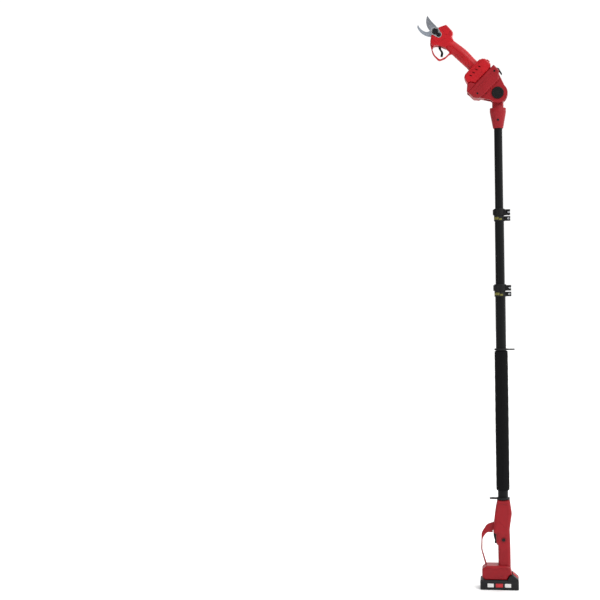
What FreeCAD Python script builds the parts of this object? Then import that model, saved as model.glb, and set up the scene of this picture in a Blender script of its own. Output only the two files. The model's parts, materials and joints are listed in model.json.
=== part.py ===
"""Telescoping pole pruner: a battery handle, three nested aluminium tubes with flip-lever clamps, a tilting
battery-shaped adaptor, and a cordless bypass pruner that slides onto the adaptor. Millimetres, +Z up.

The origin is on the pole's axis at the height of the battery's flat bottom. The pole stands along +Z, the
pruner leans to -X, and its gear side faces -Y. Three pieces share one "tool frame": the foot that takes the
battery has its origin at its bottom edge, its latch end at -X and +Z up along the tool.
"""
import FreeCAD
import Part
import math
import os

V = FreeCAD.Vector
X_AXIS, Y_AXIS, Z_AXIS = V(1, 0, 0), V(0, 1, 0), V(0, 0, 1)

# --- driving dimensions: the pole ---
TUBE_WALL = 1.2
TUBE_GAP = 0.3                      # radial play between nested tubes
OUTER_TUBE_D = 31.0
MID_TUBE_D = OUTER_TUBE_D - 2 * (TUBE_WALL + TUBE_GAP)
INNER_TUBE_D = MID_TUBE_D - 2 * (TUBE_WALL + TUBE_GAP)
OUTER_TUBE_BOTTOM = 215.0
LOWER_CLAMP_Z = 888.0
UPPER_CLAMP_Z = 1118.0              # where the mid tube ends, as drawn
PIVOT_Z = 1507.0
SLEEVE_Z = PIVOT_Z - 106.0
MID_TUBE_LENGTH = 637.0
INNER_TUBE_OVERLAP = 330.0          # inner tube held inside the mid tube
BUSH_LENGTH, BUSH_SPIGOT = 12.0, 20.0
FIT = 0.1                           # radial play of a guided or turning fit
SLIDE_FIT = 0.4                     # play round buttons and rails

# --- driving dimensions: tube clamps ---
CLAMP_WALL = 2.3
CLAMP_LOW_H, CLAMP_SLOT, CLAMP_UP_H = 15.0, 2.4, 20.6
CLAMP_UP_WALL = 4.2
EAR_REACH, EAR_UP_T, EAR_LOW_T = 33.0, 7.0, 5.0
CLAMP_SLIT = 2.4
LEVER_T, LEVER_H, LEVER_GAP = 3.0, 17.0, 0.6
CAM_R, CAM_X = 6.0, 27.0
LEVER_PIN_R, SCREW_R = 1.5, 2.0

# --- driving dimensions: grip, strap rings ---
FOAM_D, FOAM_BOTTOM, FOAM_TOP = 40.5, 297.0, 724.0
RING_T, RING_OD, RING_EAR, EYELET_R = 5.0, 41.0, 31.0, 4.5
RING_LOW_Z, RING_HIGH_Z = 271.0, 725.0

# --- driving dimensions: battery and foot (tool frame) ---
BATTERY_H = 29.3
BATTERY_W = 72.0
BATTERY_BACK, BATTERY_FRONT = 47.7, -68.2
BATTERY_CHAMFER, BATTERY_SPLIT, LABEL_DEPTH = 3.5, -6.6, 0.6
FOOT_W = 62.0
CASE_WALL = 2.4
RAIL_W, RAIL_NECK_W, RAIL_LIP, RAIL_H = 50.0, 43.0, 2.8, 10.0
RAIL_X0, RAIL_X1 = -32.0, 34.0
CELL_R, CELL_L, CELL_PITCH, CELL_COUNT = 9.1, 65.0, 19.0, 5
CELL_AXIS_Z = -BATTERY_H + CASE_WALL + CELL_R + 0.5
TERMINAL_PITCH, TERMINAL_T, TERMINAL_WALL = 12.0, 0.8, 2.0
FOOT_SHIFT = -24.2                  # handle foot to the pole axis
LINE_DEPTH = 0.7                    # depth of the moulded lines on the cases
LATCH_W = 26.0
FOOT_TOP, FOOT_END = 42.7, 41.8

# --- driving dimensions: tilt joint and adaptor (tool frame) ---
TILT_DEG = 45.0
PIVOT_X, PIVOT_DOWN = -6.0, 68.0
BOSS_R, KNOB_R, EYE_R = 30.0, 18.0, 17.5
CHEEK_OUT, CHEEK_IN, TONGUE_HALF = 21.0, 12.5, 11.0
BOLT_R, KNOB_POCKET = 5.0, 5.5
KNOB_BACK = 2.0                     # how deep the button reaches into its pocket at rest
NECK_R = 17.3
SLEEVE_TOP_R, SLEEVE_LOW_R, SLEEVE_H = 24.5, 15.4, 61.0

# --- driving dimensions: pruner head (tool frame) ---
GEAR_Z = 202.0
MODULE, BLADE_TEETH, PINION_TEETH = 1.07, 17, 12
GEAR_DIST = MODULE * (BLADE_TEETH + PINION_TEETH) / 2
PINION_Z = GEAR_Z - GEAR_DIST
GEAR_FACE = 4.5
PLATE_R1, PLATE_R2, PLATE_RIM = 12.4, 8.9, 1.2
PLATE_FRONT, PLATE_FLOOR, PLATE_BACK = -20.5, -14.0, -8.2
HOOK_Y, HOOK_T = -7.9, 4.0
BLADE_Y, BLADE_T = -3.5, 3.0
HUB_R, BLADE_HUB_R, PIVOT_BOLT_R = 16.0, 11.8, 4.0
HEAD_HALF, GUARD_HALF = 19.5, 6.5
DRIVE_Y = 2.0                       # motor axis behind the mid plane
MITRE_TEETH, MITRE_R, MITRE_FACE = 12, 7.5, 3.4
MOTOR_R, MOTOR_Z, MOTOR_L, GEARBOX_L = 10.0, 62.0, 48.0, 44.0
PINION_SHAFT_R, DRIVE_SHAFT_R = 3.0, 3.5
TRIGGER_PIVOT = (-14.5, 165.5)
TRIGGER_HALF, PIN_R = 4.5, 1.5

# --- driving dimensions: pole handle (pole frame) ---
HANDLE_TOP, HANDLE_HALF = 269.0, 20.5
HANDLE_TRIGGER_PIVOT = (-19.0, 178.0)
HANDLE_TRIGGER_HALF = 6.0
LOCK_X, LOCK_Z, LOCK_R = 0.0, 149.5, 5.0


# ------------------------------------------------------------------ shape helpers
def box(x0, x1, y0, y1, z0, z1):
    return Part.makeBox(x1 - x0, y1 - y0, z1 - z0, V(x0, y0, z0))


def rod(r, start, axis, length):
    """A cylinder from start along axis."""
    return Part.makeCylinder(r, length, V(*start), axis)


def pipe(r_out, r_in, z0, z1):
    return rod(r_out, (0, 0, z0), Z_AXIS, z1 - z0).cut(rod(r_in, (0, 0, z0 - 1), Z_AXIS, z1 - z0 + 2))


def outline(corners):
    """Closed wire in the XZ plane through (x, z, radius) corners, each rounded by a tangent arc."""
    edges, last, first = [], None, None
    count = len(corners)
    for i, (x, z, r) in enumerate(corners):
        here = V(x, 0, z)
        back = V(corners[i - 1][0], 0, corners[i - 1][1]) - here
        ahead = V(corners[(i + 1) % count][0], 0, corners[(i + 1) % count][1]) - here
        back.normalize()
        ahead.normalize()
        if r > 0:
            half = back.getAngle(ahead) / 2
            reach = r / math.tan(half)
            bisector = back + ahead
            bisector.normalize()
            start, end = here + back * reach, here + ahead * reach
            middle = here + bisector * (r / math.sin(half) - r)
        else:
            start = end = here
        if last is not None and last.distanceToPoint(start) > 1e-6:
            edges.append(Part.makeLine(last, start))
        if r > 0:
            edges.append(Part.Arc(start, middle, end).toShape())
        first = first or start
        last = end
    if last.distanceToPoint(first) > 1e-6:
        edges.append(Part.makeLine(last, first))
    return Part.Wire(edges)


def slab(wire, y0, y1, inset=0.0):
    """The XZ wire's face, taken in by inset, as a plate from y0 to y1."""
    face = Part.Face(wire)
    if inset:
        face = face.makeOffset2D(-inset)
    face.translate(V(0, y0, 0))
    return face.extrude(V(0, y1 - y0, 0))


def round_rims(solid, radius, y0, y1):
    """Rounds the edges that lie in the planes y0 and y1."""
    rims = [e for e in solid.Edges if all(abs(v.Y - y0) < 1e-5 for v in e.Vertexes)
            or all(abs(v.Y - y1) < 1e-5 for v in e.Vertexes)]
    return solid.makeFillet(radius, rims)


def pillow(wire, half, radius, inset=0.0):
    """A plate centred on y = 0 with both rims rounded, or taken in by inset to hollow such a plate."""
    reach = half - inset
    plate = slab(wire, -reach, reach, inset)
    return plate if inset and radius < 7 else round_rims(plate, radius - inset, -reach, reach)


def ellipse_loft(stations, inset=0.0):
    """A solid through ellipses, each station (z, x_left, x_right, half thickness)."""
    wires = []
    for z, left, right, half in stations:
        major, minor = (right - left) / 2 - inset, half - inset
        wires.append(Part.Wire([Part.Ellipse(V((left + right) / 2, 0, z), major, minor).toShape()]))
    return Part.makeLoft(wires, True, False)


def halves(shell):
    """The front (-Y) and rear (+Y) halves of a case, split on the mid plane."""
    big = 2500.0
    return (shell.common(box(-big, big, -big, 0, -big, big)),
            shell.common(box(-big, big, 0, big, -big, big)))


def union(shapes):
    return shapes[0].multiFuse(shapes[1:]).removeSplitter() if len(shapes) > 1 else shapes[0]


def coil(radius, wire_r, pitch, height, start, axis=Z_AXIS):
    """A compression spring from start along axis."""
    helix = Part.makeHelix(pitch, height, radius)
    section = Part.Wire([Part.makeCircle(wire_r, V(radius, 0, 0), Y_AXIS)])
    spring = Part.Wire(helix.Edges).makePipeShell([section], True, True)
    spring.Placement = FreeCAD.Placement(V(*start), FreeCAD.Rotation(Z_AXIS, axis))
    return spring


def cone_spring(low_r, high_r, wall, height, start, axis):
    """A conical spring washer from start along axis."""
    outer = Part.makeCone(low_r, high_r, height, V(*start), axis)
    return outer.cut(Part.makeCone(low_r - wall, high_r - wall, height, V(*start), axis))


def screw(x, z, y_head, y_tip, head_r=2.8, head_h=2.4, shank_r=1.5):
    """A pan-head case screw along Y, its head at y_head."""
    way = 1 if y_tip > y_head else -1
    head = rod(head_r, (x, y_head, z), V(0, way, 0), head_h)
    socket = Part.makeBox(2.2, 1.2, 2.2, V(x - 1.1, min(y_head, y_head + way * 1.2), z - 1.1))
    shank = rod(shank_r, (x, y_head + way * head_h, z), V(0, way, 0), abs(y_tip - y_head) - head_h)
    return head.cut(socket).fuse(shank)


def screw_way(x, z, half, head_depth, head_r=3.2, shank_r=1.56):
    """The hole a rear-entry case screw needs, head pocket included."""
    return rod(head_r, (x, half - head_depth, z), Y_AXIS, head_depth + 5).fuse(
        rod(shank_r, (x, -half + 4.4, z), Y_AXIS, 2 * half - 8))


def boss(x, z, half, radius=4.2):
    return rod(radius, (x, -half, z), Y_AXIS, 2 * half)


def to_head(shape):
    """Moves a tool-frame shape to the tilted pruner on top of the pole."""
    tilt = FreeCAD.Rotation(Y_AXIS, -TILT_DEG)
    place = FreeCAD.Placement(V(0, 0, PIVOT_Z), tilt)
    shape.Placement = place.multiply(FreeCAD.Placement(V(-PIVOT_X, 0, PIVOT_DOWN), FreeCAD.Rotation())).multiply(
        shape.Placement)
    return shape


def to_handle(shape):
    """Moves a tool-frame shape to the foot of the pole handle, latch end to +X."""
    turn = FreeCAD.Rotation(Z_AXIS, 180)
    shape.Placement = FreeCAD.Placement(V(FOOT_SHIFT, 0, BATTERY_H), turn).multiply(shape.Placement)
    return shape


def groove(points, width, depth=200.0):
    """A channel of round-ended strips along (x, z) points, through everything up to depth from the mid plane."""
    if len(points) == 2:
        (x0, z0), (x1, z1) = points
        length = math.hypot(x1 - x0, z1 - z0)
        dx, dz = (x1 - x0) * width / 2 / length, (z1 - z0) * width / 2 / length
        corners = [(x0 - dz, z0 + dx, 0), (x1 - dz, z1 + dx, 0), (x1 + dz, z1 - dx, 0), (x0 + dz, z0 - dx, 0)]
        return slab(outline(corners), -depth, depth)
    path = Part.makePolygon([V(x, 0, z) for x, z in points])
    face = Part.Face(path.makeOffset2D(width / 2, 0, False, False))
    face.translate(V(0, -depth, 0))
    return face.extrude(V(0, 2 * depth, 0))


def face_cuts(tools, half, depth):
    """What the tools take from a case's two flat faces at half, down to depth."""
    skin = box(-300, 300, -half - 20, -half + depth, -100, 400).fuse(box(-300, 300, half - depth, half + 20, -100, 400))
    return Part.makeCompound(tools).common(skin)


# ------------------------------------------------------------------ foot and battery (tool frame)
def foot_wire():
    return outline([(-32.7, 0, 0), (-39.0, 12.2, 1.5), (-48.0, 16.4, 1.5), (-46.0, 27.0, 3), (-42.5, 37.5, 5),
                    (-34.0, FOOT_TOP - 0.6, 4), (-20.0, FOOT_TOP, 0), (28.0, FOOT_TOP, 3),
                    (FOOT_END, 32.0, 5), (FOOT_END, 8.0, 5), (33.0, 0, 6)])


def foot_solid(inset=0.0):
    return pillow(foot_wire(), FOOT_W / 2, 6.0, inset)


def foot_lines():
    """Moulded lines on the foot's sides: the shoulder line, the low crease and the blank name plate."""
    shoulder = groove([(-41.0, 30.5), (-38.0, 34.6), (-5.0, 34.6), (-2.0, 32.4), (14.5, 32.4), (17.0, 34.6), (30.0, 34.6),
                       (35.5, 31.0)], 0.9)
    crease = groove([(-30.0, 4.2), (31.0, 4.2), (37.5, 9.5)], 1.3)
    plate = slab(outline([(-19.0, 7.4, 0.6), (6.4, 7.4, 0.6), (6.4, 13.8, 0.6), (-19.0, 13.8, 0.6)]), -60, 60)
    return face_cuts([shoulder, crease, plate], FOOT_W / 2, LINE_DEPTH)


def rail_channel():
    """The space that the battery's rails slide in, open at the latch end."""
    neck = box(-70, RAIL_X1 + 1.2, -RAIL_NECK_W / 2 - SLIDE_FIT, RAIL_NECK_W / 2 + SLIDE_FIT, -1, RAIL_LIP)
    reach = RAIL_W / 2 + SLIDE_FIT
    wide = box(-70, RAIL_X1 + 1.2, -reach, reach, RAIL_LIP - SLIDE_FIT, RAIL_H + SLIDE_FIT)
    mouth = box(-70, -28, -reach, reach, -1, RAIL_H + SLIDE_FIT)
    return union([neck, wide, mouth])


def vents():
    """Four slanted cooling slots through the foot's sides."""
    slots = []
    for i in range(4):
        slot = box(-1.4, 1.4, -FOOT_W, FOOT_W, -4.0, 4.0)
        slot.rotate(V(0, 0, 0), Y_AXIS, -20)
        slot.translate(V(-25.0 + 12.5 * i + 0.0, 0, 26.5))
        slots.append(slot)
    return slots


def rail_block():
    """T rails with slots for the contact blades, as on the battery and on the adaptor."""
    neck = box(RAIL_X0, RAIL_X1, -RAIL_NECK_W / 2, RAIL_NECK_W / 2, -0.5, RAIL_LIP)
    wide = box(RAIL_X0, RAIL_X1, -RAIL_W / 2, RAIL_W / 2, RAIL_LIP, RAIL_H)
    block = neck.fuse(wide)
    for y in (-TERMINAL_PITCH, 0, TERMINAL_PITCH):
        block = block.cut(box(13, RAIL_X1 + 1, y - TERMINAL_T, y + TERMINAL_T, 3.4, RAIL_H + 1))
    return block


def raised_end():
    """The sloped block at the latch end, with the latch's pocket cut out."""
    wire = outline([(BATTERY_FRONT, -2, 0), (-67.2, 2.0, 2), (-50.4, 16.4, 1.5), (-49.0, 15.6, 0.8),
                    (-39.9, 11.7, 1.0), (-33.4, -2, 0)])
    block = round_rims(slab(wire, -BATTERY_W / 2 + 1.5, BATTERY_W / 2 - 1.5), 2.0,
                       -BATTERY_W / 2 + 1.5, BATTERY_W / 2 - 1.5)
    pocket = outline([(-80, -7.8, 0), (-58, -7.8, 0), (-49.4, -0.9, 0), (-49.4, 30, 0), (-80, 30, 0)])
    half = LATCH_W / 2 + SLIDE_FIT
    return block, slab(pocket, -half, half)


def battery_block(inset, z0, z1):
    """The battery's body between two heights: its sides are panels with wide chamfers all round."""
    def ring(y, shrink, radius):
        x0, x1, low, high = BATTERY_FRONT + shrink, BATTERY_BACK - shrink, -BATTERY_H + shrink, -0.4 - shrink
        wire = outline([(x0, low, radius), (x1, low, radius), (x1, high, radius), (x0, high, radius)])
        wire.translate(V(0, y, 0))
        return wire

    half, chamfer = BATTERY_W / 2 - inset, BATTERY_CHAMFER - 0.9 * inset
    rings = [ring(-half, inset + chamfer, 1.6), ring(-half + chamfer, inset, 3.5), ring(half - chamfer, inset, 3.5),
             ring(half, inset + chamfer, 1.6)]
    return Part.makeLoft(rings, True, True).common(box(-100, 100, -100, 100, z0, z1))


def battery_parts():
    """Lower case with a label recess, upper case with rails, cells, circuit board and contacts."""
    split = BATTERY_SPLIT
    lower = battery_block(0, -BATTERY_H, split).cut(battery_block(CASE_WALL, -BATTERY_H, split + 1))
    label = slab(outline([(-54.0, -23.6, 4), (31.0, -23.6, 4), (31.0, -8.4, 4), (-54.0, -8.4, 4)]), -60, 60)
    lower = lower.cut(face_cuts([label], BATTERY_W / 2, LABEL_DEPTH))
    end, pocket = raised_end()
    upper = union([battery_block(0, split, 0), rail_block(), end])
    guard = slab(outline([(-80, -11, 0), (-56, -11, 0), (-46.5, -3, 0), (-46.5, 10, 0), (-80, 10, 0)]), -16, 16)
    upper = upper.cut(battery_block(CASE_WALL, split - 1, 0).cut(guard)).cut(pocket)
    start = -10.0 - CELL_PITCH * (CELL_COUNT - 1) / 2
    cells = [rod(CELL_R, (start + CELL_PITCH * i, -CELL_L / 2, CELL_AXIS_Z), Y_AXIS, CELL_L) for i in range(CELL_COUNT)]
    board = box(-32, 36, -24, 24, -7.6, -6.0)
    contacts = [box(18, 32, y - 3.0, y + 3.0, -6.0, -3.4) for y in (-TERMINAL_PITCH, 0, TERMINAL_PITCH)]
    return {"battery_lower_case": lower, "battery_upper_case": upper, "battery_cells": Part.makeCompound(cells),
            "battery_board": union([board] + contacts)}


def latch_parts():
    """The battery's release button and the spring under it."""
    wire = outline([(-66.4, 3.4, 1), (-51.8, 18.6, 1.2), (-50.0, 18.0, 0.5), (-50.0, 4.0, 0), (-58.4, -3.2, 0),
                    (-66.4, -3.2, 1)])
    button = round_rims(slab(wire, -LATCH_W / 2, LATCH_W / 2), 1.2, -LATCH_W / 2, LATCH_W / 2)
    for i in range(3):
        x = -63.0 + 3.4 * i
        button = button.cut(box(x - 0.5, x + 0.5, -8, 8, x + 69.3, x + 72))
    spring = coil(2.6, 0.35, 1.5, 3.7, (-62.0, 0, -7.4))
    return button, spring


# ------------------------------------------------------------------ pruner case (tool frame)
def grip_stations():
    return [(37.0, -15.6, 24.6, 18.6), (60.0, -13.9, 23.2, 17.4), (98.0, -14.6, 24.9, 18.0),
            (134.0, -14.9, 20.9, 17.3), (152.0, -17.5, 20.6, 17.6)]


def head_wire():
    return outline([(-17.0, 202.4, 2), (17.7, 202.4, 2), (37.9, 191.7, 2.5), (36.4, 166.0, 2), (34.0, 158.6, 2),
                    (22.4, 152.4, 5), (19.6, 143.0, 0), (-15.2, 143.0, 0), (-19.5, 156.0, 14), (-29.0, 170.8, 6),
                    (-37.5, 177.0, 3), (-34.5, 190.2, 14)])


def guard_wires():
    """Outer and inner edges of the trigger guard."""
    outer = outline([(-10.0, 200.0, 0), (-20.5, 199.0, 0), (-37.0, 189.0, 22), (-55.0, 160.0, 26),
                     (-57.0, 131.5, 10), (-38.0, 123.0, 14), (-21.0, 122.2, 8), (-13.0, 117.0, 0), (-8.0, 117.0, 0)])
    hole = outline([(-33.0, 174.6, 4), (-44.6, 171.6, 6), (-51.8, 154.0, 22), (-51.4, 132.6, 9),
                    (-33.0, 126.0, 16), (-14.4, 125.8, 5), (-14.6, 143.0, 10), (-19.5, 156.4, 14), (-27.6, 169.6, 6)])
    return outer, hole


def teardrop(r1, r2):
    """Wire round the two gears: circles about both centres joined by their outer tangents."""
    slope = math.asin((r1 - r2) / GEAR_DIST)
    c, s = math.cos(slope), math.sin(slope)
    right_top, right_low = V(r1 * c, 0, GEAR_Z - r1 * s), V(r2 * c, 0, PINION_Z - r2 * s)
    left_top, left_low = V(-r1 * c, 0, GEAR_Z - r1 * s), V(-r2 * c, 0, PINION_Z - r2 * s)
    return Part.Wire([Part.Arc(right_top, V(0, 0, GEAR_Z + r1), left_top).toShape(), Part.makeLine(left_top, left_low),
                      Part.Arc(left_low, V(0, 0, PINION_Z - r2), right_low).toShape(),
                      Part.makeLine(right_low, right_top)])


def grip_lines():
    """Moulded belts, panels and rib slots on both sides of the grip, cut LINE_DEPTH into its skin."""
    wide = 1.0
    lines = [
        groove([(20.0, 142.8), (-1.7, 152.0), (-11.8, 145.6), (1.6, 131.3), (3.0, 127.8), (3.3, 110.0), (4.6, 97.3),
                (5.2, 80.0), (6.6, 76.6), (10.8, 75.2), (26.0, 75.2)], wide),
        groove([(20.0, 140.3), (5.9, 147.6), (-3.6, 140.2), (5.9, 130.7), (6.5, 119.0), (8.2, 96.0), (8.8, 81.0),
                (11.2, 79.0), (26.0, 79.0)], wide),
        groove([(7.4, 146.0), (8.2, 137.4), (14.5, 130.2), (26.0, 128.6)], wide),
        groove([(-18.0, 111.8), (-1.7, 101.5), (-1.2, 79.1), (-2.6, 74.6), (-9.4, 61.8)], wide),
        groove([(4.5, 70.4), (-4.6, 54.0), (-9.4, 53.4)], wide), groove([(6.0, 70.9), (26.0, 70.9)], wide),
        groove([(26.0, 67.0), (10.2, 65.4), (5.9, 57.2), (8.8, 50.2)], wide), groove([(-20.0, 47.4), (30.0, 47.4)], wide)]
    slots = [box(11.2, 30, -60, 60, z - 1.7, z + 1.7) for z in (92.5, 105.4, 118.0)]
    slots += [box(-30, -5.4, -60, 60, z - 1.6, z + 1.6) for z in (57.0, 76.0, 87.7, 98.6)]
    skin = ellipse_loft(grip_stations()).cut(ellipse_loft(grip_stations(), LINE_DEPTH))
    return Part.makeCompound(lines + slots).common(skin)


def head_lines():
    """Moulded lines on both sides of the head: the long belt and the six-sided panel."""
    panel = outline([(19.5, 197.6, 0.8), (33.3, 190.6, 0.8), (32.2, 170.0, 0.8), (19.7, 163.2, 0.8), (12.6, 171.4, 0.8),
                     (16.2, 185.8, 0.8)])
    ring = slab(panel, -60, 60).cut(slab(panel, -61, 61, 1.0))
    belt = groove([(-21.7, 199.4), (-22.6, 177.0), (-13.6, 171.6), (3.3, 164.2), (23.0, 155.4)], 1.0)
    edge = groove([(35.0, 189.6), (33.9, 168.6), (21.0, 160.9)], 0.8)
    return face_cuts([ring, belt, edge], HEAD_HALF, LINE_DEPTH)


PRUNER_SCREWS = [(27.5, 178.0), (-25.5, 181.0), (33.0, 34.0), (-34.0, 34.0)]


def pruner_case():
    """Both case halves, hollow, with screw bosses, trigger slot, blade slot and gear opening."""
    outer_guard, guard_hole = guard_wires()
    guard = pillow(outer_guard, GUARD_HALF, 2.4)
    head = pillow(head_wire(), HEAD_HALF, 5.0)
    body = union([head, ellipse_loft(grip_stations()), foot_solid(), guard])
    body = body.cut(slab(guard_hole, -60, 60))
    root = FOOT_END - CASE_WALL / 2
    lug = round_rims(slab(outline([(root, 30.3, 0), (44.5, 30.0, 2), (48.2, 26.6, 1.5), (48.2, 18.0, 2),
                                   (43.0, 15.0, 1), (root, 15.6, 0)]), -5, 5), 1.2, -5, 5)
    inner_stations = [(35.0, -15.6, 24.6, 18.6)] + grip_stations()[:-1] + [(154.0, -17.5, 20.6, 17.6)]
    hollow = union([pillow(head_wire(), HEAD_HALF, 5.0, CASE_WALL), ellipse_loft(inner_stations, CASE_WALL - 0.2),
                    foot_solid(CASE_WALL)])
    shell = body.cut(hollow)
    posts = [boss(x, z, HEAD_HALF - 1 if z > 100 else FOOT_W / 2 - 1) for x, z in PRUNER_SCREWS]
    pin_x, pin_z = TRIGGER_PIVOT
    seats = [rod(3.4, (pin_x, 9.0, pin_z), Y_AXIS, 8.5), rod(3.4, (pin_x, -17.5, pin_z), Y_AXIS, 12.0)]
    shell = union([shell, lug] + posts + seats)
    cuts = [screw_way(x, z, HEAD_HALF if z > 100 else FOOT_W / 2, 6.0) for x, z in PRUNER_SCREWS]
    cuts += [slab(teardrop(PLATE_R1 + 0.25, PLATE_R2 + 0.25), -40, PLATE_BACK),
             box(-22.0, 17.2, PLATE_BACK - 0.3, 4.0, 184.0, 215.0),
             box(-40.0, -13.5, -TRIGGER_HALF - 0.6, TRIGGER_HALF + 0.6, 148.0, 172.5),
             rod(PIN_R + 0.02, (pin_x, -16.0, pin_z), Y_AXIS, 32.0),
             rod(1.8, (44.2, -20, 22.8), Y_AXIS, 40.0),
             box(-33.2, -21.3, -6.5, 6.5, 36.0, 50.0), rail_channel()] + vents()
    shell = shell.cut(Part.makeCompound(cuts))
    for lines in (grip_lines(), head_lines(), foot_lines()):
        shell = shell.cut(lines)
    return halves(shell)


def mitre_gear():
    """A mitre bevel gear about Z with its apex at the origin and its teeth below, one tooth towards +Y."""
    slim, tall, deep = 0.40, 0.85, 1.15
    m = 2 * MITRE_R / MITRE_TEETH
    near = 1 - MITRE_FACE / (MITRE_R * math.sqrt(2))
    root = MITRE_R - deep * m / math.sqrt(2)
    root_z = -MITRE_R - deep * m / math.sqrt(2)
    # the root cone's surface runs through (root, root_z) towards the apex
    small = near
    body = Part.makeCone(root, root * small, (root_z * (small - 1)), V(0, 0, root_z), Z_AXIS)
    hub = rod(root, (0, 0, root_z - 1.6), Z_AXIS, 1.6)
    teeth = []
    for i in range(MITRE_TEETH):
        sections = []
        for k in (1.0, small):
            tip_r, tip_z = (MITRE_R + tall * m / math.sqrt(2)) * k, (-MITRE_R + tall * m / math.sqrt(2)) * k
            low_r, low_z = (root - 0.25) * k, (root_z - 0.25) * k
            wide, thin = m * math.pi * slim * 0.66 * k, m * math.pi * slim * 0.30 * k
            sections.append(Part.makePolygon([V(-wide, low_r, low_z), V(wide, low_r, low_z), V(thin, tip_r, tip_z),
                                              V(-thin, tip_r, tip_z), V(-wide, low_r, low_z)]))
        tooth = Part.makeLoft(sections, True, True)
        tooth.rotate(V(0, 0, 0), Z_AXIS, 360.0 * i / MITRE_TEETH)
        teeth.append(tooth)
    return union([body, hub] + teeth)


def spur_wire(teeth, tip, root, backlash, phase_deg):
    """An involute gear outline in the XZ plane about the origin, one tooth's centre at phase_deg from +X."""
    pitch_r = MODULE * teeth / 2
    base_r = pitch_r * math.cos(math.radians(20))
    tip_r, root_r = pitch_r + tip * MODULE, pitch_r - root * MODULE
    involute = lambda a: math.tan(a) - a
    half = math.pi / (2 * teeth) - backlash / (2 * pitch_r) + involute(math.radians(20))
    points = []
    steps = 4
    for i in range(teeth):
        centre = math.radians(phase_deg) + 2 * math.pi * i / teeth
        flank = []
        for k in range(steps + 1):
            r = max(base_r, root_r) + (tip_r - max(base_r, root_r)) * k / steps
            flank.append((r, half - involute(math.acos(min(1.0, base_r / r)))))
        if root_r < base_r:
            flank.insert(0, (root_r, half))
        points += [(r, centre - a) for r, a in flank] + [(r, centre + a) for r, a in reversed(flank)]
    corners = [V(r * math.cos(a), 0, r * math.sin(a)) for r, a in points]
    return Part.makePolygon(corners + [corners[0]])


def gear_parts():
    """The blade's gear with the pivot bolt, the pinion on its shaft, and the motor's mitre gear."""
    y0, y1 = PLATE_FLOOR - 0.3 - GEAR_FACE, PLATE_FLOOR - 0.3
    big = slab(spur_wire(BLADE_TEETH, 0.8, 1.15, 0.10, -90.0), y0, y1)
    big.translate(V(0, 0, GEAR_Z))
    ring = rod(6.4, (0, y0 - 0.8, GEAR_Z), Y_AXIS, 1.0).cut(rod(5.2, (0, y0 - 1.0, GEAR_Z), Y_AXIS, 0.9))
    big = big.fuse(ring).cut(rod(PIVOT_BOLT_R + 0.02, (0, -40, GEAR_Z), Y_AXIS, 60))
    bolt = union([rod(PIVOT_BOLT_R, (0, y0 - 0.1, GEAR_Z), Y_AXIS, -y0 + 2.6), rod(7.0, (0, 0.0, GEAR_Z), Y_AXIS, 2.6)])
    nut = slab(outline([(4.9 * math.cos(math.radians(60 * i)), GEAR_Z + 4.9 * math.sin(math.radians(60 * i)), 0)
                        for i in range(6)]), y0 - 1.9, y0 - 0.1)
    nut = nut.cut(rod(2.0, (0, y0 - 2.2, GEAR_Z), Y_AXIS, 1.6))
    bolt = bolt.fuse(nut)
    small = slab(spur_wire(PINION_TEETH, 0.85, 1.1, 0.10, 90.0 + 180.0 / PINION_TEETH), y0, y1)
    small.translate(V(0, 0, PINION_Z))
    shaft = rod(PINION_SHAFT_R, (0, y0 - 1.2, PINION_Z), Y_AXIS, 14.0 - y0 + 1.2)
    recess = rod(1.7, (0, y0 - 1.3, PINION_Z), Y_AXIS, 2.4)
    mitre = mitre_gear()
    mitre.rotate(V(0, 0, 0), Z_AXIS, 180.0 / MITRE_TEETH)
    mitre.rotate(V(0, 0, 0), X_AXIS, 90)
    mitre.translate(V(0, DRIVE_Y, PINION_Z))
    pinion = union([small, shaft]).cut(recess)
    mitre = mitre.cut(rod(PINION_SHAFT_R + 0.02, (0, -5, PINION_Z), Y_AXIS, 40))
    drive = mitre_gear()
    drive.translate(V(0, DRIVE_Y, PINION_Z))
    top = MOTOR_Z + MOTOR_L + GEARBOX_L
    drive = drive.fuse(rod(DRIVE_SHAFT_R, (0, DRIVE_Y, top + 0.3), Z_AXIS, PINION_Z - MITRE_R - top - 1.0))
    return big, bolt, pinion, mitre, drive


def gear_housing():
    """Aluminium head: teardrop tray for the gears, deck, webs, and bearings for both shafts."""
    tray = slab(teardrop(PLATE_R1, PLATE_R2), PLATE_FRONT, PLATE_BACK)
    tray = tray.cut(slab(teardrop(PLATE_R1 - PLATE_RIM, PLATE_R2 - PLATE_RIM), PLATE_FRONT - 1, PLATE_FLOOR))
    deck = box(-14, 14, -12, 14, 170.6, 174.4)
    neck = box(-8.5, 12, -10, 14, MOTOR_Z + MOTOR_L + GEARBOX_L + 0.1, 171)
    webs = [box(9.5, 14, -12, 14, 174, 187), box(-15.6, -9.5, HOOK_Y + HOOK_T + 0.4, 14, 174, 187),
            box(-15.6, 14, -12, PLATE_BACK, 171, 192), box(-14, 14, 12.2, 15.2, 174, PINION_Z + 6)]
    body = union([tray, deck, neck] + webs)
    bores = [rod(PIVOT_BOLT_R + FIT, (0, -30, GEAR_Z), Y_AXIS, 50), rod(PINION_SHAFT_R + FIT, (0, -30, PINION_Z), Y_AXIS, 50),
             rod(DRIVE_SHAFT_R + FIT, (0, DRIVE_Y, 150), Z_AXIS, 30)]
    bores += [rod(1.25 + 0.02, (-12.0, -13, z), Y_AXIS, 20) for z in HOOK_SCREW_Z]
    return body.cut(Part.makeCompound(bores))


HOOK_SCREW_Z = (177.6, 183.6)


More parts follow.
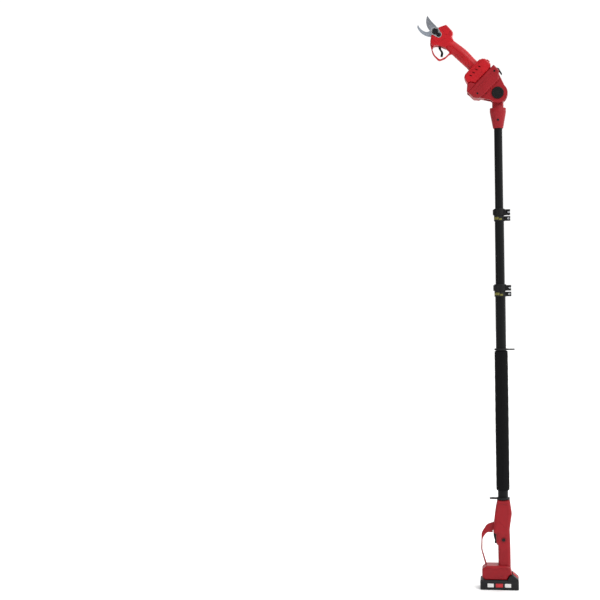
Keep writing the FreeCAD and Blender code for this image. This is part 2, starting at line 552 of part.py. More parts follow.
def hook_blade():
    """Fixed hook: a curved arm on a round hub, with a tang for two screws."""
    arm = Part.Wire([Part.Arc(V(-18.0, 0, 198.5), V(-31.3, 0, 232.5), V(-27.8, 0, 251.0)).toShape(),
                     Part.Arc(V(-27.8, 0, 251.0), V(-25.0, 0, 254.0), V(-19.5, 0, 255.8)).toShape(),
                     Part.Arc(V(-19.5, 0, 255.8), V(-23.0, 0, 238.0), V(-18.4, 0, 222.4)).toShape(),
                     Part.Arc(V(-18.4, 0, 222.4), V(-13.4, 0, 218.3), V(-3.0, 0, 217.6)).toShape(),
                     Part.makeLine(V(-3.0, 0, 217.6), V(0, 0, 198.5)), Part.makeLine(V(0, 0, 198.5), V(-18.0, 0, 198.5))])
    y0, y1 = HOOK_Y, HOOK_Y + HOOK_T
    tang = box(-15.8, -9.0, y0, y1, 175.2, 196.0)
    blade = union([slab(arm, y0, y1), rod(HUB_R, (0, y0, GEAR_Z), Y_AXIS, HOOK_T), tang])
    holes = [rod(PIVOT_BOLT_R + FIT, (0, -30, GEAR_Z), Y_AXIS, 60), rod(PINION_SHAFT_R + 0.6, (0, -30, PINION_Z), Y_AXIS, 60)]
    holes += [rod(1.25 + 0.02, (-12.0, -30, z), Y_AXIS, 60) for z in HOOK_SCREW_Z]
    return blade.cut(Part.makeCompound(holes))


def cutting_blade():
    """Moving blade: convex edge to the left, its hub clear of the pinion shaft."""
    leaf = Part.Wire([Part.Arc(V(-7.6, 0, 210.5), V(-3.0, 0, 235.6), V(20.3, 0, 255.4)).toShape(),
                      Part.Arc(V(20.3, 0, 255.4), V(16.2, 0, 233.0), V(15.6, 0, 214.0)).toShape(),
                      Part.makeLine(V(15.6, 0, 214.0), V(9.6, 0, 196.0)), Part.makeLine(V(9.6, 0, 196.0), V(-7.6, 0, 196.0)),
                      Part.makeLine(V(-7.6, 0, 196.0), V(-7.6, 0, 210.5))])
    blade = union([slab(leaf, BLADE_Y, BLADE_Y + BLADE_T), rod(BLADE_HUB_R, (0, BLADE_Y, GEAR_Z), Y_AXIS, BLADE_T)])
    return blade.cut(rod(PIVOT_BOLT_R + 0.02, (0, -30, GEAR_Z), Y_AXIS, 60))


def pruner_trigger():
    """S-shaped finger lever."""
    finger = outline([(-19.0, 170.0, 2), (-29.6, 160.0, 10), (-32.2, 145.5, 12), (-43.4, 138.4, 1.2), (-39.2, 132.8, 1.2),
                      (-28.0, 139.0, 12), (-25.4, 152.0, 12), (-18.0, 161.4, 4), (-12.0, 161.6, 0), (-12.0, 169.0, 2)])
    x, z = TRIGGER_PIVOT
    lever = round_rims(slab(finger, -TRIGGER_HALF, TRIGGER_HALF), 0.9, -TRIGGER_HALF, TRIGGER_HALF)
    lever = union([lever, rod(4.4, (x, -TRIGGER_HALF, z), Y_AXIS, 2 * TRIGGER_HALF)])
    return lever.cut(rod(PIN_R + 0.05, (x, -20, z), Y_AXIS, 40))


def terminals():
    """Contact block with three blades that enter the battery's slots."""
    top = RAIL_H + SLIDE_FIT
    block = box(24.0, FOOT_END - CASE_WALL - 0.1, -17, 17, top + TERMINAL_WALL, top + TERMINAL_WALL + 7.0)
    blades = []
    for y in (-TERMINAL_PITCH, 0, TERMINAL_PITCH):
        half = TERMINAL_T / 2
        blades.append(box(17, RAIL_X1 - 0.6, y - half, y + half, 4.2, top + TERMINAL_WALL + 1.0))
    return union([block] + blades)


def pruner_parts():
    front, rear = pruner_case()
    big, bolt, pinion, mitre, drive = gear_parts()
    pin_x, pin_z = TRIGGER_PIVOT
    half_of = {z: (HEAD_HALF if z > 100 else FOOT_W / 2) for _, z in PRUNER_SCREWS}
    screws = [screw(x, z, half_of[z] - 3.4, -half_of[z] + 6.0) for x, z in PRUNER_SCREWS]
    motor = union([rod(MOTOR_R, (0, DRIVE_Y, MOTOR_Z), Z_AXIS, MOTOR_L), rod(4.0, (0, DRIVE_Y, MOTOR_Z - 2.5), Z_AXIS, 2.5)])
    gearbox = rod(MOTOR_R + 0.3, (0, DRIVE_Y, MOTOR_Z + MOTOR_L), Z_AXIS, GEARBOX_L)
    board = union([box(-18, 28, -16, 16, 31.0, 32.6), box(-12, -2, -12, 12, 27.5, 31.0), box(4, 20, -9, 9, 25.5, 31.0)])
    parts = {
        "pruner_case_front": front, "pruner_case_rear": rear, "pruner_case_screws": Part.makeCompound(screws),
        "gear_housing": gear_housing(), "hook_blade": hook_blade(),
        "hook_blade_screws": Part.makeCompound([screw(-12.0, z, -13.4, 3.0, 2.1, 1.4, 1.25) for z in HOOK_SCREW_Z]),
        "drive_motor": motor, "planetary_gearbox": gearbox, "pruner_control_board": board,
        "pruner_terminals": terminals(), "pruner_trigger_pin": rod(PIN_R, (pin_x, -15.8, pin_z), Y_AXIS, 31.6),
        "pruner_trigger_spring": coil(2.6, 0.35, 1.2, 3.4, (pin_x, 5.0, pin_z), Y_AXIS),
        "pruner_trigger": pruner_trigger(),
        "pruner_power_button": box(-32.8, -21.7, -6.1, 6.1, 38.4, 43.8),
        "cutting_blade": cutting_blade(), "blade_gear": big, "blade_pivot_bolt": bolt,
        "pinion_gear": pinion, "pinion_mitre_gear": mitre, "motor_mitre_gear": drive}
    return {name: to_head(shape) for name, shape in parts.items()}


# ------------------------------------------------------------------ adaptor (tool frame)
ADAPTOR_SCREWS = [(19.0, -40.0), (-31.0, -42.0), (-50.0, -26.0), (33.0, -16.0)]
ADAPTOR_HALF = 33.0


def adaptor_case():
    """Both halves: battery-shaped block, two cheeks round the tilt pivot, and the rails on top."""
    block = pillow(outline([(BATTERY_FRONT + 1, -0.4, 2), (BATTERY_FRONT + 1, -26.0, 4), (-57.0, -39.0, 3),
                            (-40.0, -43.5, 3), (24.0, -43.5, 3), (45.0, -24.0, 5), (46.0, -0.4, 2)]), ADAPTOR_HALF, 5.0)
    cheek_wire = outline([(-58.0, -20.0, 3), (-54.0, -38.5, 3), (-36.0, -68.0, 8), (-30.0, -76.0, 0), (18.0, -76.0, 0),
                          (24.0, -68.0, 6), (38.0, -30.0, 4), (38.0, -20.0, 2)])
    cheeks = pillow(cheek_wire, CHEEK_OUT, 2.5)
    pivot = (PIVOT_X, -CHEEK_OUT, -PIVOT_DOWN)
    disc = rod(BOSS_R, pivot, Y_AXIS, 2 * CHEEK_OUT)
    end, pocket = raised_end()
    ridge = round_rims(slab(outline([(-62.0, -14.4, 0.8), (43.0, -14.4, 0.8), (41.5, -19.6, 0.8), (-60.5, -19.6, 0.8)]),
                            -ADAPTOR_HALF - 1.4, ADAPTOR_HALF + 1.4), 0.6, -ADAPTOR_HALF - 1.4, ADAPTOR_HALF + 1.4)
    body = union([block, ridge, cheeks, disc, rail_block(), end])
    hollow = union([pillow(outline([(BATTERY_FRONT + 3.4, -3.0, 1), (BATTERY_FRONT + 3.4, -25.0, 2), (-56.0, -36.5, 2),
                                    (-40.0, -41.0, 2), (23.0, -41.0, 2), (42.5, -23.0, 3), (43.5, -3.0, 1)]),
                           ADAPTOR_HALF - CASE_WALL, 2.6)])
    swing = BOSS_R + 6
    slot = union([rod(swing, (PIVOT_X, -CHEEK_IN, -PIVOT_DOWN), Y_AXIS, 2 * CHEEK_IN).common(
        box(-100, 100, -50, 50, -200, -PIVOT_DOWN + EYE_R + 1.0)),
        box(-80, 60, -CHEEK_IN, CHEEK_IN, -130, -PIVOT_DOWN + EYE_R + 1.0)])
    plugs = [boss(x, z, CHEEK_OUT - 1.0 if z < -35 else ADAPTOR_HALF - 1.0) for x, z in ADAPTOR_SCREWS]
    floor = box(-46, 30, -CHEEK_OUT + 1, CHEEK_OUT - 1, -PIVOT_DOWN + EYE_R + 1.0, -40.0)
    bay_walls = box(36.5, 50, -14, 14, -42, -2)
    shell = union([body.cut(hollow), floor.common(body), bay_walls.common(body)] + plugs).cut(slot).cut(pocket)
    cuts = [rod(KNOB_R + SLIDE_FIT, (PIVOT_X, -CHEEK_OUT - 5, -PIVOT_DOWN), Y_AXIS, 5.0 + KNOB_POCKET),
            rod(9.0, (PIVOT_X, CHEEK_OUT - 5.0, -PIVOT_DOWN), Y_AXIS, 20.0),
            rod(BOLT_R + 0.05, (PIVOT_X, -40, -PIVOT_DOWN), Y_AXIS, 80), catch_bay()]
    for x, z in ADAPTOR_SCREWS:
        half = CHEEK_OUT if z < -35 else ADAPTOR_HALF
        cuts += [rod(3.2, (x, -half - 5, z), Y_AXIS, 8.0), rod(1.56, (x, -half, z), Y_AXIS, 2 * half - 5.0)]
    return halves(shell.cut(Part.makeCompound(cuts)))


def catch_bay():
    """The notch in the adaptor's back end that the catch lever swings in."""
    return box(38.5, 60, -10.4, 10.4, -40.0, -6.0)


def adaptor_catch():
    """Thumb lever at the adaptor's back end that holds the pruner's foot."""
    wire = outline([(41.0, -8.4, 1.5), (46.6, -8.4, 1.5), (51.5, -17.0, 3), (46.0, -36.0, 2), (42.6, -37.0, 1),
                    (46.0, -20.0, 4), (41.0, -14.4, 1)])
    lever = round_rims(slab(wire, -9.6, 9.6), 1.0, -9.6, 9.6)
    return lever.fuse(rod(PIN_R, (43.8, -12.6, -11.4), Y_AXIS, 25.2))


def adaptor_parts():
    front, rear = adaptor_case()
    px, pz = PIVOT_X, -PIVOT_DOWN
    screws = []
    for x, z in ADAPTOR_SCREWS:
        half = CHEEK_OUT if z < -35 else ADAPTOR_HALF
        screws.append(screw(x, z, -half + 0.4, half - 7.0))
    head_y = CHEEK_OUT - KNOB_POCKET
    bolt = union([rod(BOLT_R, (px, -head_y - 0.1, pz), Y_AXIS, head_y + CHEEK_OUT - 4.0),
                  rod(7.0, (px, -head_y - 2.6, pz), Y_AXIS, 2.6)])
    nut = slab(outline([(px + 8.6 * math.cos(math.radians(60 * i)), pz + 8.6 * math.sin(math.radians(60 * i)), 0)
                        for i in range(6)]), CHEEK_OUT - 5.0, CHEEK_OUT - 0.4)
    bolt = bolt.fuse(nut)
    washer = [rod(EYE_R - 2.5, (px, y, pz), Y_AXIS, CHEEK_IN - TONGUE_HALF - 2 * FIT).cut(
        rod(BOLT_R + 0.05, (px, y - 1, pz), Y_AXIS, 10)) for y in (-CHEEK_IN + FIT, TONGUE_HALF + FIT)]
    knob = round_rims(rod(KNOB_R, (px, -CHEEK_OUT - 4.6, pz), Y_AXIS, 4.6 + KNOB_BACK), 1.6, -CHEEK_OUT - 4.6, 1e9)
    knob = knob.cut(rod(KNOB_R - 6.0, (px, -CHEEK_OUT - 6, pz), Y_AXIS, 2.6))
    knob = knob.cut(rod(KNOB_R - 2.6, (px, -CHEEK_OUT - 1.6, pz), Y_AXIS, 6.0))
    spring = cone_spring(12.0, 9.0, 0.8, KNOB_POCKET + 1.2, (px, -head_y - 0.1, pz), V(0, -1, 0))
    trunnion = rod(PIN_R + 0.05, (43.8, -12.8, -11.4), Y_AXIS, 25.6)
    parts = {"adaptor_case_front": front.cut(trunnion), "adaptor_case_rear": rear.cut(trunnion),
             "adaptor_screws": Part.makeCompound(screws), "adaptor_catch": adaptor_catch(),
             "adaptor_contacts": union([box(12, 32, y - 3, y + 3, -6.0, -3.2) for y in (-TERMINAL_PITCH, 0, TERMINAL_PITCH)]
                                       + [box(4, 36, -20, 20, -7.6, -6.0)]),
             "tilt_bolt": bolt, "tilt_washers": Part.makeCompound(washer), "tilt_lock_button": knob,
             "tilt_lock_spring": spring}
    return {name: to_head(shape) for name, shape in parts.items()}


# ------------------------------------------------------------------ pole
def clamp_collar(low_d, up_d, z):
    """Split collar: the low tier grips its own tube, the high tier closes on the tube that slides in it."""
    mid, slot, top = z + CLAMP_LOW_H, z + CLAMP_LOW_H + CLAMP_SLOT, z + CLAMP_LOW_H + CLAMP_SLOT + CLAMP_UP_H
    low_r, up_r = low_d / 2, up_d / 2 + FIT
    low = rod(low_r + CLAMP_WALL, (0, 0, z), Z_AXIS, slot - z)
    up = rod(up_r + CLAMP_UP_WALL, (0, 0, slot), Z_AXIS, top - slot)
    up = up.makeFillet(1.6, [e for e in up.Edges if all(abs(v.Z - top) < 1e-5 for v in e.Vertexes)])
    ear_low = box(0, EAR_REACH, -EAR_LOW_T, EAR_LOW_T, z + 1.0, mid)
    ear_up = box(0, EAR_REACH - 1, -EAR_UP_T, EAR_UP_T, slot + 0.6, top - 3.0)
    ear_up = ear_up.makeFillet(4.0, [e for e in ear_up.Edges if all(v.X > EAR_REACH - 1.1 and v.Z > slot + 5 for v in e.Vertexes)])
    body = union([low, up, ear_low, ear_up])
    cuts = [rod(low_r, (0, 0, z - 1), Z_AXIS, slot - z + 1), rod(up_r, (0, 0, slot - 1), Z_AXIS, top),
            box(low_r - 4, 60, -CLAMP_SLIT / 2, CLAMP_SLIT / 2, z - 1, top + 1), box(low_r - 6, 60, -50, 50, mid, slot),
            rod(SCREW_R + 0.05, (CAM_X, -50, slot + CLAMP_UP_H / 2 - 1.2), Y_AXIS, 100),
            rod(SCREW_R + 0.05, (CAM_X, -50, z + CLAMP_LOW_H / 2 + 0.5), Y_AXIS, 100)]
    return body.cut(Part.makeCompound(cuts))


def clamp_hardware(z):
    """Eye bolt with its cross pin for the lever, and the fixing screw of the low tier, each with a nut."""
    slot = z + CLAMP_LOW_H + CLAMP_SLOT
    lever_z, screw_z = slot + CLAMP_UP_H / 2 - 1.2, z + CLAMP_LOW_H / 2 + 0.5
    pin_y = -EAR_UP_T - CAM_R - 0.4
    eye = rod(3.6, (CAM_X, pin_y, lever_z - 2.2), Z_AXIS, 4.4)
    shank = rod(SCREW_R, (CAM_X, pin_y, lever_z), Y_AXIS, EAR_UP_T - pin_y + 0.2)
    head = rod(3.8, (CAM_X, EAR_UP_T + 0.1, lever_z), Y_AXIS, 3.0)
    pin = rod(LEVER_PIN_R, (CAM_X, pin_y, lever_z - LEVER_H / 2 + 1), Z_AXIS, LEVER_H - 2)
    bolt = union([eye, shank, head, pin])
    low = union([rod(SCREW_R, (CAM_X, -EAR_LOW_T - 0.1, screw_z), Y_AXIS, 2 * EAR_LOW_T + 0.2),
                 rod(3.6, (CAM_X, -EAR_LOW_T - 2.2, screw_z), Y_AXIS, 2.2),
                 rod(3.6, (CAM_X, EAR_LOW_T, screw_z), Y_AXIS, 2.6)])
    low = low.cut(rod(1.5, (CAM_X, -EAR_LOW_T - 2.4, screw_z), Y_AXIS, 1.6))
    return Part.makeCompound([bolt, low])


def clamp_lever(up_d, z):
    """Cam lever that wraps round the front of the collar, from the ears to the far side."""
    slot = z + CLAMP_LOW_H + CLAMP_SLOT
    lever_z = slot + CLAMP_UP_H / 2 - 1.2
    pin_y = -EAR_UP_T - CAM_R - 0.4
    r0 = up_d / 2 + FIT + CLAMP_UP_WALL + LEVER_GAP
    r1 = r0 + LEVER_T
    z0, z1 = lever_z - LEVER_H / 2, lever_z + LEVER_H / 2
    band = pipe(r1, r0, z0, z1)
    wedge = Part.Face(Part.makePolygon([V(0, 0, z0), V(-60, -16, z0), V(-60, -80, z0), V(60, -80, z0), V(60, -58, z0),
                                        V(0, 0, z0)])).extrude(V(0, 0, LEVER_H))
    band = band.common(wedge)
    cam = rod(CAM_R, (CAM_X, pin_y, z0), Z_AXIS, LEVER_H)
    a = math.radians(-46)
    bridge = Part.Face(Part.makePolygon([V(CAM_X, pin_y - CAM_R, z0), V(r1 * math.cos(a), r1 * math.sin(a) - 0.4, z0),
                                         V((r0 + 0.4) * math.cos(a), (r0 + 0.4) * math.sin(a), z0),
                                         V(CAM_X - 5.0, pin_y + 1.0, z0), V(CAM_X, pin_y - CAM_R, z0)])).extrude(V(0, 0, LEVER_H))
    lever = union([band, cam, bridge])
    slot_cut = union([rod(CAM_R + 1.2, (CAM_X, pin_y, lever_z - 2.6), Z_AXIS, 5.2)])
    keep_off = box(CAM_X - 40, CAM_X + 20, pin_y + CAM_R + 0.3, 40, z0 - 1, z1 + 1).cut(
        rod(r1 + 1, (0, 0, z0 - 1), Z_AXIS, LEVER_H + 2))
    return lever.cut(slot_cut).cut(keep_off).cut(rod(LEVER_PIN_R + 0.05, (CAM_X, pin_y, z0 - 1), Z_AXIS, LEVER_H + 2))


def guide_bush(tube_d, z_end):
    """Plastic plug in a tube's lower end: a collar that runs in the next tube and a spigot in its own."""
    bore = 5.0
    collar_r = tube_d / 2 + TUBE_GAP - FIT
    collar = rod(collar_r, (0, 0, z_end - BUSH_LENGTH), Z_AXIS, BUSH_LENGTH)
    spigot = rod(tube_d / 2 - TUBE_WALL - 0.02, (0, 0, z_end), Z_AXIS, BUSH_SPIGOT)
    return collar.fuse(spigot).cut(rod(bore, (0, 0, z_end - BUSH_LENGTH - 1), Z_AXIS, 60))


def strap_ring(z, side):
    """Flat ring round the tube with an eyelet on one side."""
    ring = rod(RING_OD / 2, (0, 0, z), Z_AXIS, RING_T)
    ear = rod(10.0, (side * RING_EAR, 0, z + 0.6), Z_AXIS, RING_T - 1.2)
    low, high = min(0, side * RING_EAR), max(0, side * RING_EAR)
    web = box(low, high, -10.0, 10.0, z + 0.6, z + RING_T - 0.6)
    body = union([ring, ear, web])
    return body.cut(rod(OUTER_TUBE_D / 2 + 0.02, (0, 0, z - 1), Z_AXIS, 20)).cut(
        rod(EYELET_R, (side * RING_EAR, 0, z - 1), Z_AXIS, 20))


def pole_parts():
    low_top = LOWER_CLAMP_Z + CLAMP_LOW_H + CLAMP_SLOT - 0.4
    up_top = UPPER_CLAMP_Z + CLAMP_LOW_H + CLAMP_SLOT - 0.4
    outer_r, mid_r, inner_r = OUTER_TUBE_D / 2, MID_TUBE_D / 2, INNER_TUBE_D / 2
    mid_low = up_top - MID_TUBE_LENGTH
    inner_low = up_top - INNER_TUBE_OVERLAP
    tube_top = SLEEVE_Z + 49.0
    neck_low = PIVOT_Z - 61.0
    cup = Part.makeCone(SLEEVE_LOW_R, SLEEVE_TOP_R, SLEEVE_H - 12.0, V(0, 0, SLEEVE_Z), Z_AXIS)
    cup = cup.fuse(rod(SLEEVE_TOP_R, (0, 0, SLEEVE_Z + SLEEVE_H - 12.0), Z_AXIS, 12.0))
    cup = cup.cut(rod(inner_r + 0.02, (0, 0, SLEEVE_Z - 1), Z_AXIS, 60)).cut(
        rod(NECK_R + 0.05, (0, 0, tube_top), Z_AXIS, 30))
    cup = cup.cut(rod(SCREW_R + 0.05, (0, -40, SLEEVE_Z + 24), Y_AXIS, 80))
    neck = union([rod(NECK_R, (0, 0, tube_top + 0.1), Z_AXIS, PIVOT_Z - tube_top - 10.0),
                  rod(EYE_R, (0, -NECK_R, PIVOT_Z), Y_AXIS, 2 * NECK_R),
                  box(-EYE_R, EYE_R, -NECK_R, NECK_R, PIVOT_Z - 20, PIVOT_Z)])
    slim = box(-60, 60, -60, 60, SLEEVE_Z + SLEEVE_H + 6.0, PIVOT_Z + 60).cut(
        box(-60, 60, -TONGUE_HALF, TONGUE_HALF, SLEEVE_Z, PIVOT_Z + 80))
    spigot = rod(inner_r - TUBE_WALL - 0.05, (0, 0, neck_low - 8.0), Z_AXIS, tube_top - neck_low + 10.0)
    neck = neck.cut(slim).fuse(spigot)
    neck = neck.cut(rod(BOLT_R + FIT, (0, -60, PIVOT_Z), Y_AXIS, 120)).cut(rod(4.5, (0, 0, neck_low - 12), Z_AXIS, 52.0))
    sleeve_screw = union([rod(SCREW_R, (0, -SLEEVE_LOW_R - 3.4, SLEEVE_Z + 24), Y_AXIS, 2 * SLEEVE_LOW_R + 6.8),
                          rod(3.4, (0, -SLEEVE_LOW_R - 5.4, SLEEVE_Z + 24), Y_AXIS, 2.4)])
    cup = cup.cut(rod(3.6, (0, -SLEEVE_LOW_R - 13.0, SLEEVE_Z + 24), Y_AXIS, 10.1))
    cross = rod(SCREW_R + 0.05, (0, -40, SLEEVE_Z + 24), Y_AXIS, 80)
    return {
        "outer_tube": pipe(outer_r, outer_r - TUBE_WALL, OUTER_TUBE_BOTTOM, low_top),
        "mid_tube": pipe(mid_r, mid_r - TUBE_WALL, mid_low, up_top),
        "inner_tube": pipe(inner_r, inner_r - TUBE_WALL, inner_low, tube_top).cut(cross),
        "mid_tube_bush": guide_bush(MID_TUBE_D, mid_low), "inner_tube_bush": guide_bush(INNER_TUBE_D, inner_low),
        "lower_clamp_collar": clamp_collar(OUTER_TUBE_D, MID_TUBE_D, LOWER_CLAMP_Z),
        "upper_clamp_collar": clamp_collar(MID_TUBE_D, INNER_TUBE_D, UPPER_CLAMP_Z),
        "lower_clamp_hardware": clamp_hardware(LOWER_CLAMP_Z), "upper_clamp_hardware": clamp_hardware(UPPER_CLAMP_Z),
        "lower_clamp_lever": clamp_lever(MID_TUBE_D, LOWER_CLAMP_Z),
        "upper_clamp_lever": clamp_lever(INNER_TUBE_D, UPPER_CLAMP_Z),
        "foam_grip": pipe(FOAM_D / 2, outer_r + 0.02, FOAM_BOTTOM, FOAM_TOP),
        "strap_rings": Part.makeCompound([strap_ring(RING_LOW_Z, -1), strap_ring(RING_HIGH_Z, 1)]),
        "head_sleeve": cup, "tilt_neck": neck, "sleeve_screw": sleeve_screw}


# ------------------------------------------------------------------ pole handle
HANDLE_SCREWS = [(20.3, 232.0), (-22.6, 218.0), (-44.0, 186.0)]


def handle_wire():
    """Side outline of the handle's body, from the foot to the tube socket."""
    return outline([(-17.6, HANDLE_TOP, 1.5), (-22.5, 248.0, 20), (-28.0, 208.0, 20), (-29.5, 196.0, 0),
                    (-31.0, 170.0, 3), (-23.0, 166.5, 2), (-21.5, 136.0, 2), (-17.0, 131.0, 3), (-16.8, 60.0, 0),
                    (20.6, 60.0, 0), (20.4, 120.0, 30), (19.0, 182.0, 40), (26.0, 228.0, 26), (20.4, HANDLE_TOP, 1.5)])


def handle_guard_wires():
    outer = outline([(-20, 206, 0), (-30, 201, 6), (-50, 194, 22), (-66.5, 168, 26), (-68.5, 118, 30), (-54.0, 62.0, 0),
                     (-46.0, 62.0, 0), (-16, 64, 0)])
    hole = outline([(-26, 169.6, 2), (-50, 170.6, 14), (-63.6, 152.0, 22), (-64.4, 116.0, 24), (-50.8, 70.0, 3),
                    (-40.0, 55.0, 0), (-12.0, 55.0, 0), (-14.0, 130.0, 0)])
    return outer, hole


def handle_case():
    """Both halves of the pole handle: tube socket, pistol grip, finger guard and battery foot."""
    body = pillow(handle_wire(), HANDLE_HALF, 9.0)
    outer, hole = handle_guard_wires()
    guard = pillow(outer, 6.0, 2.0).cut(slab(hole, -60, 60))
    foot = to_handle(foot_solid())
    core = box(-60, 60, -60, 60, OUTER_TUBE_BOTTOM - 4.0, 400)
    hollow_up = pillow(handle_wire(), HANDLE_HALF, 9.0, CASE_WALL).cut(core)
    hollow_foot = to_handle(foot_solid(CASE_WALL))
    shell = union([body, foot, guard]).cut(union([hollow_up, hollow_foot]))
    sites = HANDLE_SCREWS + [(FOOT_SHIFT - 33.0, BATTERY_H + 34.0), (FOOT_SHIFT + 34.0, BATTERY_H + 34.0)]
    posts = []
    cuts = []
    for x, z in sites:
        half = screw_half(x, z)
        posts.append(boss(x, z, half - 1.5, 3.8))
        cuts += [rod(3.2, (x, half - 5.0, z), Y_AXIS, 12.0), rod(1.56, (x, -half + 3.4, z), Y_AXIS, 2 * half - 6)]
    px, pz = HANDLE_TRIGGER_PIVOT
    seats = [rod(3.6, (px, 7.4, pz), Y_AXIS, 11.0), rod(3.6, (px, -18.4, pz), Y_AXIS, 11.0)]
    shell = union([shell] + posts + seats)
    cuts += [rod(OUTER_TUBE_D / 2 + 0.02, (0, 0, OUTER_TUBE_BOTTOM - 0.2), Z_AXIS, 80),
             rod(PIN_R + 0.02, (px, -17, pz), Y_AXIS, 34),
             box(-32.5, -14, -HANDLE_TRIGGER_HALF - 0.6, HANDLE_TRIGGER_HALF + 0.6, 133.0, 176.5),
             box(-28.4, -12, -HANDLE_TRIGGER_HALF - 0.6, HANDLE_TRIGGER_HALF + 0.6, 176.0, 185.0),
             rod(LOCK_R + 0.3, (LOCK_X, -40, LOCK_Z), Y_AXIS, 80), to_handle(rail_channel()),
             rod(9.0, (0, 0, OUTER_TUBE_BOTTOM - 10), Z_AXIS, 20)]
    shell = shell.cut(Part.makeCompound(cuts))
    return halves(shell.cut(to_handle(foot_lines())).cut(handle_lines()))


def handle_lines():
    """Moulded lines on the handle's sides: round the cross button, under the socket and along the guard's root."""
    ring = rod(LOCK_R + 3.4, (LOCK_X, -60, LOCK_Z), Y_AXIS, 120).cut(rod(LOCK_R + 2.4, (LOCK_X, -61, LOCK_Z), Y_AXIS, 122))
    root = groove([(-34.0, 203.0), (-18.0, 205.5), (-4.0, 199.0), (4.0, 186.0), (26.0, 176.0)], 1.0)
    low = groove([(-31.0, 168.0), (-14.0, 170.0), (-6.0, 164.0)], 1.0)
    collar = groove([(-30.0, 258.0), (30.0, 258.0)], 1.1)
    return face_cuts([ring, root, low, collar], HANDLE_HALF, LINE_DEPTH)


def screw_half(x, z):
    """Half thickness of the handle where a case screw goes."""
    if z < 100:
        return FOOT_W / 2
    return 6.0 if x < -40 else HANDLE_HALF


def handle_trigger():
    wire = outline([(-24.5, 183.0, 2), (-30.6, 168.6, 3), (-30.0, 158.0, 14), (-26.6, 146.0, 10), (-27.6, 136.0, 2),
                    (-17.5, 136.0, 2), (-13.5, 160.0, 0), (-13.0, 174.0, 3), (-14.5, 183.0, 3)])
    half = HANDLE_TRIGGER_HALF
    lever = round_rims(slab(wire, -half, half), 1.6, -half, half)
    px, pz = HANDLE_TRIGGER_PIVOT
    return lever.cut(rod(PIN_R + 0.05, (px, -20, pz), Y_AXIS, 40))


def handle_parts():
    front, rear = handle_case()
    sites = HANDLE_SCREWS + [(FOOT_SHIFT - 33.0, BATTERY_H + 34.0), (FOOT_SHIFT + 34.0, BATTERY_H + 34.0)]
    screws = [screw(x, z, screw_half(x, z) - 2.6, -screw_half(x, z) + 4.2, 2.8, 2.2) for x, z in sites]
    px, pz = HANDLE_TRIGGER_PIVOT
    lock = union([rod(LOCK_R, (LOCK_X, -HANDLE_HALF - 2.6, LOCK_Z), Y_AXIS, 2 * HANDLE_HALF + 2.2)])
    lock = lock.cut(rod(LOCK_R + 1, (LOCK_X, -3.4, LOCK_Z), Y_AXIS, 6.8).cut(rod(3.0, (LOCK_X, -3.4, LOCK_Z), Y_AXIS, 6.8)))
    switch = box(-8.5, 6.0, -5.0, 5.0, 160.0, 176.0)
    parts = {"handle_case_front": front, "handle_case_rear": rear, "handle_case_screws": Part.makeCompound(screws),
             "handle_trigger": handle_trigger(), "handle_trigger_pin": rod(PIN_R, (px, -16.8, pz), Y_AXIS, 33.6),
             "handle_trigger_spring": coil(2.2, 0.3, 1.2, 3.6, (-13.0, 0, 168.0), X_AXIS),
             "handle_trigger_switch": switch, "lock_off_button": lock,
             "handle_terminals": to_handle(terminals())}
    parts.update({name: to_handle(shape) for name, shape in battery_parts().items()})
    button, spring = latch_parts()
    parts["battery_latch"], parts["battery_latch_spring"] = to_handle(button), to_handle(spring)
    return parts


def main():
    os.makedirs("parts", exist_ok=True)
    nodes = {}
    for group in (pole_parts, handle_parts, adaptor_parts, pruner_parts):
        nodes.update(group())
    for name, shape in nodes.items():
        shape.exportStep("parts/%s.step" % name)
        print("%-24s solids %d valid %s volume %.0f" % (name, len(shape.Solids), shape.isValid(), shape.Volume))
    print(len(nodes), "nodes")


if __name__ == "__main__":
    main()
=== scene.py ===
import json
import math
import bmesh
import bpy
import numpy as np
from mathutils import Matrix, Vector


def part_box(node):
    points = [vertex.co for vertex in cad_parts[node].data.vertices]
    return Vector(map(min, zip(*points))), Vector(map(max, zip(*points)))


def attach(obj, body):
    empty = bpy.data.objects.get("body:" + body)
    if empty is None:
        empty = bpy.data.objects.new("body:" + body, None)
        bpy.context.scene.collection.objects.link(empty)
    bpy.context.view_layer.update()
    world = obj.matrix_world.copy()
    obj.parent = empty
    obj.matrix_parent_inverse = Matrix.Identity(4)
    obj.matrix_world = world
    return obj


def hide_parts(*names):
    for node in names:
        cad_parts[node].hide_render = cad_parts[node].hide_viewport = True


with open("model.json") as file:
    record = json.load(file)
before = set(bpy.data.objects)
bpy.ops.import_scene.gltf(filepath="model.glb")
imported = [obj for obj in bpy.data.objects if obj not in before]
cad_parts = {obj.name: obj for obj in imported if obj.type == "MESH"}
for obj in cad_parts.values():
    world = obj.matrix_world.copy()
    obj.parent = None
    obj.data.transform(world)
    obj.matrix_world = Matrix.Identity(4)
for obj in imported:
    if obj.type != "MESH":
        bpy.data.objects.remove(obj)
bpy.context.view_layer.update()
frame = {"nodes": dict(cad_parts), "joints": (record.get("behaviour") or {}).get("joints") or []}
MM = 0.001

# Places and boxes of the frame that the new pieces are fitted to, in metres.
PIVOT_TILT = Vector(next(j["pos_m"] for j in frame["joints"] if j["name"] == "head_tilt"))
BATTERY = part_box("battery_lower_case")
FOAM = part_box("foam_grip")
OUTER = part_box("outer_tube")
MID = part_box("mid_tube")


# ---------------------------------------------------------------- small tools
def linear(code):
    """sRGB hex colour as linear red, green, blue and alpha: a power law above 0.04045, a line below it."""
    values = [int(code[i:i + 2], 16) / 255 for i in (0, 2, 4)]
    return tuple(v / 12.92 if v <= 0.04045 else ((v + 0.055) / 1.055) ** 2.4 for v in values) + (1.0,)


